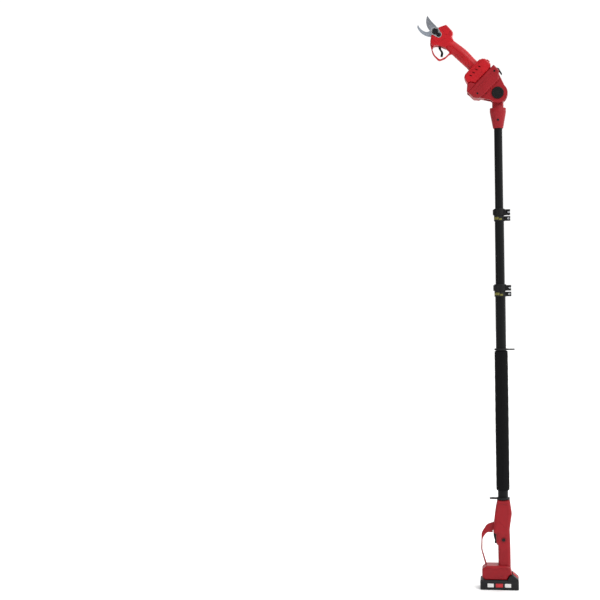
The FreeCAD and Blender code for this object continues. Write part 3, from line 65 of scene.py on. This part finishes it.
def add(tree, kind, inputs=None, **settings):
    """Adds one node, sets its settings, and gives each named input a value or a link."""
    made = tree.nodes.new(kind)
    for name, value in settings.items():
        setattr(made, name, value)
    for name, value in (inputs or {}).items():
        if isinstance(value, bpy.types.NodeSocket):
            tree.links.new(value, made.inputs[name])
        else:
            made.inputs[name].default_value = value
    return made


def finish_named(name, **values):
    """A new material, its shader and its object coordinates; constants go on the shader's own sockets."""
    material = bpy.data.materials.new(name)
    material.use_nodes = True
    tree = material.node_tree
    tree.nodes.clear()
    shader = add(tree, "ShaderNodeBsdfPrincipled", values)
    add(tree, "ShaderNodeOutputMaterial", {"Surface": shader.outputs[0]})
    place = add(tree, "ShaderNodeTexCoord").outputs["Object"]
    return material, tree, shader, place


def stretched(tree, place, scale):
    """Object coordinates stretched by one factor per axis."""
    return add(tree, "ShaderNodeMapping", {"Vector": place, "Scale": scale}).outputs[0]


def noise(tree, place, size_mm, detail=2.0, rough=0.5):
    """Noise whose lumps are about size_mm across: its scale is one over that size in metres."""
    values = {"Vector": place, "Scale": 1 / (size_mm * MM), "Detail": detail, "Roughness": rough}
    return add(tree, "ShaderNodeTexNoise", values).outputs[0]


def ramp(tree, value, low, high, out_low=0.0, out_high=1.0):
    """Straight-line change of a value's range, held at both ends."""
    values = {"Value": value, "From Min": low, "From Max": high, "To Min": out_low, "To Max": out_high}
    return add(tree, "ShaderNodeMapRange", values).outputs[0]


def mixed(tree, factor, first, second):
    """Colour between two, by factor."""
    made = add(tree, "ShaderNodeMix", {0: factor}, data_type="RGBA")
    for socket, value in ((6, first), (7, second)):
        if isinstance(value, bpy.types.NodeSocket):
            tree.links.new(value, made.inputs[socket])
        else:
            made.inputs[socket].default_value = value
    return made.outputs[2]


def rounded_normal(tree, radius_mm):
    """Normal that turns smoothly round every sharp edge, within a radius in millimetres."""
    return add(tree, "ShaderNodeBevel", {"Radius": radius_mm * MM}, samples=6).outputs[0]


def edge_wear(tree, soft):
    """1 on a sharp edge, 0 on a flat: how far the rounded normal has turned from the true one."""
    true = add(tree, "ShaderNodeNewGeometry").outputs["True Normal"]
    same = add(tree, "ShaderNodeVectorMath", {0: soft, 1: true}, operation="DOT_PRODUCT").outputs["Value"]
    return ramp(tree, same, 0.995, 0.86)


def bumped(tree, shader, height, strength, depth_mm, normal=None):
    """Bump of a depth in millimetres, over a rounded normal where there is one."""
    inputs = {"Height": height, "Strength": strength, "Distance": depth_mm * MM}
    if normal is not None:
        inputs["Normal"] = normal
    bump = add(tree, "ShaderNodeBump", inputs)
    tree.links.new(bump.outputs[0], shader.inputs["Normal"])


# ---------------------------------------------------------------- materials
def moulded_plastic(name, body, rubbed_and_lit, roughness, grain_mm=0.9, grain_depth=0.05, round_mm=0.5, gloss=0.22):
    """Injection-moulded plastic: a spark-eroded grain, faint flow marks in colour, and paler edges, partly
    rubbed wear and partly a painted highlight.

    The grain is drawn at about a millimetre, coarser than the real tenth, so that it shows.
    """
    material, tree, shader, place = finish_named(
        name, **{"Roughness": roughness, "IOR": 1.53, "Specular IOR Level": gloss})
    soft = rounded_normal(tree, round_mm)
    grain = noise(tree, place, grain_mm, 3.0, 0.6)
    flow = noise(tree, place, 38.0, 2.0)
    dark = tuple(v * 0.86 for v in body[:3]) + (1.0,)
    colour = mixed(tree, ramp(tree, flow, 0.35, 0.65), dark, body)
    # Paler sharp edges: part rubbed wear, part a painted highlight.
    rub = ramp(tree, noise(tree, place, 6.0, 3.0), 0.3, 0.7, 0.12, 0.55)
    wear = edge_wear(tree, soft)
    rub_and_highlight_mask = add(tree, "ShaderNodeMath", {0: wear, 1: rub}, operation="MULTIPLY").outputs[0]
    tree.links.new(mixed(tree, rub_and_highlight_mask, colour, rubbed_and_lit), shader.inputs["Base Color"])
    rough = ramp(tree, noise(tree, place, 14.0, 4.0), 0.3, 0.7, roughness - 0.05, roughness + 0.06)
    tree.links.new(rough, shader.inputs["Roughness"])
    bumped(tree, shader, grain, 0.35, grain_depth, soft)
    return material


def bright_red_abs():
    """ABS, bright red, textured mould: a soft, broad sheen and a fine grain."""
    return moulded_plastic("moulded_abs_bright_red", linear("AC0A17"), linear("C8343A"), 0.42)


def deep_red_abs():
    """ABS, deeper red, textured mould: as the pruner's shells but a shade darker and duller."""
    return moulded_plastic("moulded_abs_deep_red", linear("8E0F1A"), linear("A8323A"), 0.46)


def black_nylon():
    """Glass-filled nylon, black: dull, slightly uneven, with grey edges, partly rubbed wear and partly a
    painted highlight.
    """
    return moulded_plastic("glass_filled_nylon_black", linear("0D0E0F"), linear("34363A"), 0.52, 1.1, 0.06)


def battery_abs():
    """ABS and polycarbonate blend, black-grey: a coarser grain, so that it looks greyer."""
    return moulded_plastic("moulded_pc_abs_charcoal", linear("141517"), linear("3C3E42"), 0.5, 1.3, 0.07)


def trigger_pom():
    """Acetal, black: smoother and a little glossier than the nylon round it."""
    return moulded_plastic("acetal_black", linear("0A0A0B"), linear("2A2B2E"), 0.36, 1.6, 0.03)


def label_vinyl(name, body):
    """Printed vinyl label: smooth, with a faint pebble and no print on it."""
    material, tree, shader, place = finish_named(name, **{"Roughness": 0.38, "IOR": 1.5})
    spot = ramp(tree, noise(tree, place, 9.0, 3.0), 0.3, 0.7)
    dull = tuple(v * 0.9 for v in body[:3]) + (1.0,)
    tree.links.new(mixed(tree, spot, body, dull), shader.inputs["Base Color"])
    bumped(tree, shader, noise(tree, place, 0.7), 0.2, 0.02)
    return material


def anodised_tube():
    """Black-anodised drawn aluminium tube: lengthwise draw lines, and thin streaks rubbed by sliding."""
    material, tree, shader, place = finish_named(
        "anodised_aluminium_black", **{"Roughness": 0.4, "Specular IOR Level": 0.14})
    drawn = noise(tree, stretched(tree, place, (1.0, 1.0, 0.02)), 1.2, 4.0, 0.65)
    patch = noise(tree, stretched(tree, place, (1.0, 1.0, 0.12)), 26.0, 3.0)
    scuff = noise(tree, stretched(tree, place, (1.0, 1.0, 0.008)), 0.8, 2.0)
    rubbed = ramp(tree, scuff, 0.68, 0.8, 0.0, 0.3)
    colour = mixed(tree, ramp(tree, patch, 0.3, 0.7), linear("060607"), linear("0E0F10"))
    tree.links.new(mixed(tree, rubbed, colour, linear("4A4C50")), shader.inputs["Base Color"])
    tree.links.new(ramp(tree, drawn, 0.3, 0.7, 0.28, 0.42), shader.inputs["Roughness"])
    bumped(tree, shader, drawn, 0.25, 0.02)
    return material


def cell_foam():
    """Closed-cell rubber foam: matte black, with a skin of cells about 1.2 mm across and a faint sheen."""
    material, tree, shader, place = finish_named(
        "closed_cell_rubber_foam", **{"Roughness": 0.95, "IOR": 1.45, "Specular IOR Level": 0.12})
    cell_scale = 1 / (1.2 * MM)
    cells = add(tree, "ShaderNodeTexVoronoi", {"Vector": place, "Scale": cell_scale}).outputs["Distance"]
    lumps = ramp(tree, noise(tree, place, 7.0, 3.0), 0.3, 0.7, 0.0, 0.8)
    height = add(tree, "ShaderNodeMath", {0: cells, 1: lumps}, operation="ADD").outputs[0]
    # The cell pits are painted darker than their rims: painted shade in the hollows.
    colour = mixed(tree, ramp(tree, cells, 0.1, 0.75), linear("050506"), linear("151516"))
    tree.links.new(colour, shader.inputs["Base Color"])
    bumped(tree, shader, height, 0.6, 0.35)
    return material


def metal(name, pale, dark, roughness, line_scale, line_mm, depth, spots=0.0):
    """Bare metal: tool lines stretched by line_scale, and tarnish spots as a darker, rougher patch."""
    material, tree, shader, place = finish_named(name, **{"Metallic": 1.0, "Roughness": roughness})
    lines = noise(tree, stretched(tree, place, line_scale), line_mm, 3.0, 0.6)
    patch = noise(tree, place, 11.0, 4.0, 0.6)
    parts = {0: ramp(tree, lines, 0.3, 0.7, 0.0, 0.6), 1: ramp(tree, patch, 0.4, 0.75, 0.0, 0.4 + spots)}
    shade = add(tree, "ShaderNodeMath", parts, operation="ADD", use_clamp=True).outputs[0]
    soft = rounded_normal(tree, 0.25)
    wear = ramp(tree, edge_wear(tree, soft), 0.0, 1.0, 0.0, 0.5)
    tree.links.new(mixed(tree, wear, mixed(tree, shade, pale, dark), pale), shader.inputs["Base Color"])
    rough = ramp(tree, shade, 0.0, 1.0, roughness - 0.06, roughness + 0.12)
    tree.links.new(rough, shader.inputs["Roughness"])
    bumped(tree, shader, lines, 0.3, depth, soft)
    return material


def along_pruner(tree, place):
    """Object coordinates turned 45 degrees about Y, so that Z runs along the pruner."""
    turn = (0.0, math.radians(45), 0.0)
    return add(tree, "ShaderNodeMapping", {"Vector": place, "Rotation": turn}).outputs[0]


def ground_blade():
    """High-carbon blade steel, surface ground: bright, with grind lines across the blade every 0.8 mm."""
    material, tree, shader, place = finish_named(
        "ground_blade_steel", **{"Metallic": 1.0, "Roughness": 0.24, "Anisotropic": 0.4})
    local = along_pruner(tree, place)
    lines = noise(tree, stretched(tree, local, (1.0, 1.0, 0.03)), 0.8, 4.0, 0.7)
    broad = noise(tree, local, 16.0, 2.0)
    shade = ramp(tree, lines, 0.32, 0.68, 0.0, 1.0)
    tree.links.new(mixed(tree, shade, linear("B9BDC5"), linear("767A82")), shader.inputs["Base Color"])
    tree.links.new(ramp(tree, broad, 0.3, 0.7, 0.18, 0.34), shader.inputs["Roughness"])
    bumped(tree, shader, lines, 0.35, 0.03, rounded_normal(tree, 0.3))
    return material


def circuit_laminate():
    """Glass-epoxy circuit laminate: green mask in blocks 8 mm apart, with paler tracks between them."""
    material, tree, shader, place = finish_named("glass_epoxy_laminate", **{"Roughness": 0.35, "IOR": 1.5})
    values = {"Vector": place, "Scale": 1 / (8 * MM), "Color1": linear("0F5A32"), "Color2": linear("136B3B"),
              "Mortar": linear("1F8A4C"), "Mortar Size": 0.06}
    tree.links.new(add(tree, "ShaderNodeTexBrick", values).outputs[0], shader.inputs["Base Color"])
    bumped(tree, shader, noise(tree, place, 1.6), 0.3, 0.05)
    return material


def cell_wrap():
    """Heat-shrunk PVC sleeve on steel cells: glossy blue with faint lengthwise creases."""
    material, tree, shader, place = finish_named("shrunk_pvc_sleeve", **{"Roughness": 0.28, "IOR": 1.54})
    crease = noise(tree, stretched(tree, place, (1.0, 0.1, 1.0)), 2.5, 3.0)
    # The low side of each crease is painted darker: painted shade in the creases.
    tree.links.new(mixed(tree, crease, linear("1D5FA8"), linear("2F7FCC")), shader.inputs["Base Color"])
    bumped(tree, shader, crease, 0.3, 0.1)
    return material


EVEN = (1.0, 1.0, 1.0)  # no direction in the tool marks
RED, DEEP, NYLON = bright_red_abs(), deep_red_abs(), black_nylon()
BATTERY_SHELL, ACETAL, TUBE, FOAM_SKIN = battery_abs(), trigger_pom(), anodised_tube(), cell_foam()
WHITE_LABEL = label_vinyl("label_vinyl_white", linear("D8D8D6"))
RED_LABEL = label_vinyl("label_vinyl_red", linear("B5121E"))
# Olive label on the clamp fronts; its tint is partly a painted highlight.
OLIVE_LABEL_AND_HIGHLIGHT = label_vinyl("label_vinyl_olive_and_painted_highlight", linear("66611F"))
# Zinc plating is bright and faintly cloudy; turned pins show rings; drawn wire is smooth along its length.
ZINC = metal("zinc_plated_steel", linear("C9CBCE"), linear("83868A"), 0.3, EVEN, 0.7, 0.02)
PIN = metal("turned_steel", linear("C4C6C8"), linear("8D9093"), 0.26, (1.0, 0.05, 1.0), 0.6, 0.02)
WIRE = metal("drawn_spring_wire", linear("A9ABAE"), linear("6D7074"), 0.3, EVEN, 0.9, 0.01)
# Bead-blasted hook steel is satin grey; black oxide is near black with a blue cast.
HOOK = metal("bead_blasted_steel", linear("B2BAC5"), linear("868D97"), 0.4, EVEN, 0.8, 0.05, 0.2)
OXIDE = metal("black_oxide_steel", linear("3A3C40"), linear("17181A"), 0.38, (1.0, 0.08, 1.0), 0.8, 0.03, 0.2)
# Die-cast alloy is pale and grainy; plated copper is warm, with darker fingermarks.
CAST = metal("die_cast_aluminium", linear("D3D4D5"), linear("9B9DA0"), 0.42, EVEN, 1.0, 0.06)
COPPER = metal("plated_copper", linear("C98A5A"), linear("8A5634"), 0.3, EVEN, 0.8, 0.02, 0.2)
BLADE, LAMINATE, SLEEVE = ground_blade(), circuit_laminate(), cell_wrap()

FINISHES = {
    RED: "pruner_case_front pruner_case_rear battery_latch",
    DEEP: "handle_case_front handle_case_rear adaptor_case_front adaptor_case_rear head_sleeve tilt_neck",
    NYLON: "strap_rings lower_clamp_collar upper_clamp_collar mid_tube_bush inner_tube_bush "
           "handle_trigger_switch adaptor_catch",
    ACETAL: "handle_trigger pruner_trigger lock_off_button tilt_lock_button pruner_power_button "
            "lower_clamp_lever upper_clamp_lever",
    BATTERY_SHELL: "battery_lower_case battery_upper_case",
    TUBE: "outer_tube mid_tube inner_tube",
    FOAM_SKIN: "foam_grip",
    ZINC: "handle_case_screws lower_clamp_hardware upper_clamp_hardware pruner_case_screws "
          "hook_blade_screws drive_motor",
    PIN: "handle_trigger_pin pruner_trigger_pin planetary_gearbox tilt_washers",
    WIRE: "handle_trigger_spring battery_latch_spring tilt_lock_spring pruner_trigger_spring",
    HOOK: "hook_blade",
    CAST: "gear_housing",
    BLADE: "cutting_blade",
    OXIDE: "adaptor_screws sleeve_screw blade_gear blade_pivot_bolt tilt_bolt pinion_gear "
           "pinion_mitre_gear motor_mitre_gear",
    COPPER: "handle_terminals adaptor_contacts pruner_terminals",
    LAMINATE: "battery_board pruner_control_board",
    SLEEVE: "battery_cells",
}
for material, names in FINISHES.items():
    for name in names.split():
        for held in frame["nodes"][name].material_slots:
            held.material = material


# ---------------------------------------------------------------- surfaces
MERGE = 0.000002  # points nearer than this are one point


def grid_faces(rows, columns, closed_rows):
    """Quads between neighbours of a rows by columns grid; columns wrap round, and rows do too when closed."""
    r = np.arange(rows if closed_rows else rows - 1)[:, None]
    c = np.arange(columns)[None, :]
    r2, c2 = (r + 1) % rows, (c + 1) % columns
    corners = [r * columns + c, r * columns + c2, r2 * columns + c2, r2 * columns + c]
    return np.stack(corners, axis=-1).reshape(-1, 4)


def piece(name, points, faces, material, body, sharp_deg=35.0):
    """Puts computed points and faces in a mesh at the origin and rides it.

    Points that meet at a pole or a seam are merged, faces turn outward, and only sharp edges stay sharp.
    """
    mesh = bpy.data.meshes.new(name)
    mesh.from_pydata(points.reshape(-1, 3), [], faces)
    work = bmesh.new()
    work.from_mesh(mesh)
    bmesh.ops.remove_doubles(work, verts=work.verts, dist=MERGE)
    bmesh.ops.recalc_face_normals(work, faces=work.faces)
    work.to_mesh(mesh)
    work.free()
    mesh.validate()
    mesh.materials.append(material)
    mesh.shade_smooth()
    mesh.set_sharp_from_angle(angle=math.radians(sharp_deg))
    made = bpy.data.objects.new(name, mesh)
    bpy.context.scene.collection.objects.link(made)
    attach(made, body)
    return made


def turned_ring(radius, height, around=160):
    """Surface of revolution about Z: a closed profile of (radius, height) points carried round."""
    turn = np.linspace(0, 2 * math.pi, around, endpoint=False)[None, :]
    r, z = np.asarray(radius)[:, None], np.asarray(height)[:, None]
    return np.stack([r * np.cos(turn), r * np.sin(turn), z + 0 * turn], axis=-1)


def foam_grip():
    """Foam sleeve, a surface of revolution.

    Its outer radius rises from the tube by the fourth root of one minus a high power of the place along
    it, which rounds both ends; half a cosine swells its middle, and a faint cosine wave leaves it slack.
    """
    low, high = FOAM
    radius, bore = (high[0] - low[0]) / 2, (OUTER[1][0] - OUTER[0][0]) / 2
    end_power, swell, wave_depth, wave_turns = 60, 0.015, 0.00018, 41.0
    t = np.linspace(-1, 1, 181)
    ends = (1 - np.abs(t) ** end_power) ** 0.25
    outer = bore + (radius - bore) * ends * (1 - swell + swell * np.cos(t * math.pi * 0.5))
    outer = outer - wave_depth * (1 - np.cos(t * wave_turns)) * (np.abs(t) < 0.97)
    height = (low[2] + high[2]) / 2 + t * (high[2] - low[2]) / 2
    rings = turned_ring(np.concatenate([outer, [bore, bore]]), np.concatenate([height, [high[2], low[2]]]))
    made = piece("foam_grip_sleeve", rings, grid_faces(*rings.shape[:2], True), FOAM_SKIN, "pole")
    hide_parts("foam_grip")


def rounded_rectangle(width, height, corner, steps=8):
    """Outline of a rounded rectangle: four quarter circles, each about its own corner's centre."""
    turn = (np.arange(4)[:, None] * 90 + np.linspace(0, 90, steps)[None, :]) * math.pi / 180
    across = np.array([1, -1, -1, 1])[:, None] * (width / 2 - corner) + corner * np.cos(turn)
    up = np.array([1, 1, -1, -1])[:, None] * (height / 2 - corner) + corner * np.sin(turn)
    return np.stack([across.ravel(), up.ravel()], axis=-1)


def raised_bar(name, centre, size, side, material, body, lift=0.0003, root=0.0002, matrix=None):
    """Closed bar on a flat face that looks along Y: sunk by its root, and standing out by its lift.

    Its outline is a rounded rectangle that shrinks by a small rounded edge as it rises.
    """
    edge, corner = 0.00025, 0.001
    insets, heights = (0.0, 0.0, edge * 0.3, edge), (-root, lift - edge, lift - edge * 0.3, lift)
    rings = []
    for inset, height in zip(insets, heights):
        outline = rounded_rectangle(size[0] - 2 * inset, size[1] - 2 * inset, corner - inset)
        rings.append(np.stack([outline[:, 0], 0 * outline[:, 0] + height, outline[:, 1]], axis=-1))
    poles = [np.zeros_like(rings[0]) + (0.0, height, 0.0) for height in (-root, lift)]
    points = np.array([poles[0]] + rings + [poles[1]]) * (1.0, side, 1.0) + np.array(centre)
    if matrix is not None:
        points = points @ np.array(matrix.to_3x3()).T + np.array(matrix.to_translation())
    return piece(name, points, grid_faces(len(points), points.shape[1], False), material, body)


def battery_label():
    """Blank label blocks in the recess on both sides of the battery: a red bar between two white ones."""
    low, high = BATTERY
    centre_x, z = (low[0] + high[0]) / 2 - 0.0008, low[2] + 0.0140
    recess, bar_height = 0.0006, 0.0112
    floor_y = (high[1] - low[1]) / 2 - recess
    bars = ((-0.0260, 0.0185, WHITE_LABEL), (0.0, 0.0215, RED_LABEL), (0.0260, 0.0185, WHITE_LABEL))
    for side, word in ((-1, "front"), (1, "rear")):
        for i, (x, width, tone) in enumerate(bars):
            centre = (centre_x + x, side * floor_y, z)
            raised_bar(f"battery_label_{word}_{i + 1}", centre, (width, bar_height), side, tone,
                       "battery")


def curved_patch(name, radius, thick, turn, height, material, body):
    """Closed thin shell on a cylinder about the pole: a rounded outline carried along an arc.

    Its thickness follows the square root of one minus a high power of the place along the arc, which is
    nothing at both ends.
    """
    steps, outline = 48, rounded_rectangle(thick, height[1] - height[0], thick * 0.45, 5)
    place = np.linspace(-1, 1, steps)[:, None]
    angle = np.radians((turn[0] + turn[1]) / 2 + place * (turn[1] - turn[0]) / 2)
    ease = np.sqrt(np.clip(1 - np.abs(place) ** 24, 0, 1))
    out = radius + thick / 2 + outline[:, 0] * ease
    up = (height[0] + height[1]) / 2 + outline[:, 1] * (0.9 + 0.1 * ease)
    points = np.stack([out * np.cos(angle), out * np.sin(angle), up], axis=-1)
    faces = [tuple(quad) for quad in grid_faces(steps, outline.shape[0], False)]
    around = outline.shape[0]
    ends = [tuple(range(around)), tuple(range((steps - 1) * around, steps * around))]
    return piece(name, points, faces + ends, material, body)


def clamp_bands():
    """Olive bands round the front of each clamp's low tier, from the far side to just short of the ears: a
    label whose olive tint also paints a highlight there.
    """
    wall, sunk, thick = 0.0023, 0.0001, 0.0007
    collars = (("lower_clamp_collar", "pole", OUTER), ("upper_clamp_collar", "mid_section", MID))
    for node, body, tube in collars:
        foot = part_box(node)[0][2]
        radius = (tube[1][0] - tube[0][0]) / 2 + wall - sunk
        for i, (turn, span) in enumerate((((-168, -98), (0.0045, 0.0125)), ((-92, -64), (0.0030, 0.0085)))):
            curved_patch(f"{node}_band_{i + 1}", radius, thick, turn, (foot + span[0], foot + span[1]),
                         OLIVE_LABEL_AND_HIGHLIGHT, body)


PRUNER_ASIDE, PRUNER_UP = 6.0, 68.0  # mm from the tilt pivot to the pruner's origin, along the pruner's axes
PRUNER_TURN = 45.0  # degrees of lean at rest


def pruner_place(x, y, z):
    """A place in the pruner's own frame as one in the object's: turned 45 degrees about the tilt pivot."""
    across, up = (x + PRUNER_ASIDE) * MM, (z + PRUNER_UP) * MM
    half = math.sqrt(0.5)
    return Vector(((across - up) * half, y * MM, PIVOT_TILT.z + (across + up) * half))


def painted_vent_shadows():
    """Dark pads inside the foot, behind its slanting vents on both sides: painted shadow, dark sheets where
    the inside of the vents lies in shade.
    """
    vents_up = 26.0
    turn = Matrix.Rotation(math.radians(-PRUNER_TURN), 4, "Y")
    turned = Matrix.Translation(pruner_place(-PRUNER_ASIDE, 0.0, vents_up)) @ turn
    wall_y, size = 0.0262, (0.052, 0.0100)
    for side, word in ((-1, "front"), (1, "rear")):
        # Painted shadow: one dark sheet behind the vents on each side.
        raised_bar(f"vent_shadow_pad_{word}", (0.0, side * wall_y, 0.0), size, side, FOAM_SKIN, "pruner",
                   lift=0.0006, root=0.0012, matrix=turned)


def floor_plane():
    """Pale painted floor: one square 60 m across at height nought."""
    half = 30.0
    mesh = bpy.data.meshes.new("floor")
    corners = half * np.array([[-1.0, -1, 0], [1, -1, 0], [1, 1, 0], [-1, 1, 0]])
    mesh.from_pydata(corners, [], [(0, 1, 2, 3)])
    made = bpy.data.objects.new("floor", mesh)
    bpy.context.scene.collection.objects.link(made)
    material, tree, shader, place = finish_named("painted_studio_floor", **{"Roughness": 0.9})
    paint = mixed(tree, noise(tree, place, 300.0), linear("FCFCFC"), linear("F6F6F6"))
    tree.links.new(paint, shader.inputs["Base Color"])
    mesh.materials.append(material)


def studio_light():
    """Soft studio: light all round that falls off from the upper right, and three area lamps."""
    world = bpy.data.worlds.new("studio")
    bpy.context.scene.world = world
    world.use_nodes = True
    sky = world.node_tree
    background = sky.nodes["Background"]
    background.inputs[0].default_value = (1.0, 1.0, 1.0, 1.0)
    aim = add(sky, "ShaderNodeTexCoord").outputs["Generated"]
    upper_right, backdrop = (0.62, 0.25, 0.74), 1.06
    toward = add(sky, "ShaderNodeVectorMath", {0: aim, 1: upper_right}, operation="DOT_PRODUCT")
    fall = ramp(sky, toward.outputs["Value"], -0.5, 0.9, 0.12, 1.75)
    # The backdrop itself stays plain white.
    plain = add(sky, "ShaderNodeLightPath").outputs["Is Camera Ray"]
    strength = add(sky, "ShaderNodeMix", {0: plain, 2: fall, 3: backdrop}, data_type="FLOAT").outputs[0]
    sky.links.new(strength, background.inputs[1])

    middle = Vector((-0.1, 0.0, 1.0))
    lamps = (("key", (1.5, -1.7, 3.0), 34, 0.9, 0.9), ("fill", (-2.2, -2.6, 1.4), 6, 1.4, 2.0),
             ("rim", (0.6, 2.4, 2.2), 16, 1.4, 1.6))
    for name, spot, power, width, height in lamps:
        lamp = bpy.data.lights.new(name, "AREA")
        lamp.shape, lamp.size, lamp.size_y, lamp.energy = "RECTANGLE", width, height, power
        shown = bpy.data.objects.new(name, lamp)
        shown.location = spot
        shown.rotation_euler = (middle - Vector(spot)).to_track_quat("-Z", "Y").to_euler()
        bpy.context.scene.collection.objects.link(shown)
    bpy.context.scene.view_settings.view_transform = "Standard"


def camera_view():
    """Camera at half the pole's height, turned left so that the pole stands to the right, a little tilted."""
    eye, turn, lean = Vector((0.0, -4.0, 0.886)), math.radians(8.79), math.radians(0.77)
    field, sensor_mm = 1.830, 36.0
    lens = bpy.data.cameras.new("camera")
    lens.sensor_width, lens.lens = sensor_mm, sensor_mm * (-eye.y * math.cos(turn)) / field
    camera = bpy.data.objects.new("camera", lens)
    ahead = Vector((-math.sin(turn), math.cos(turn), 0.0))
    look = ahead.to_track_quat("-Z", "Y").to_matrix().to_4x4()
    camera.matrix_world = Matrix.Translation(eye) @ look @ Matrix.Rotation(-lean, 4, "Z")
    bpy.context.scene.collection.objects.link(camera)
    bpy.context.scene.camera = camera


floor_plane()
studio_light()
camera_view()
foam_grip()
battery_label()
clamp_bands()
painted_vent_shadows()
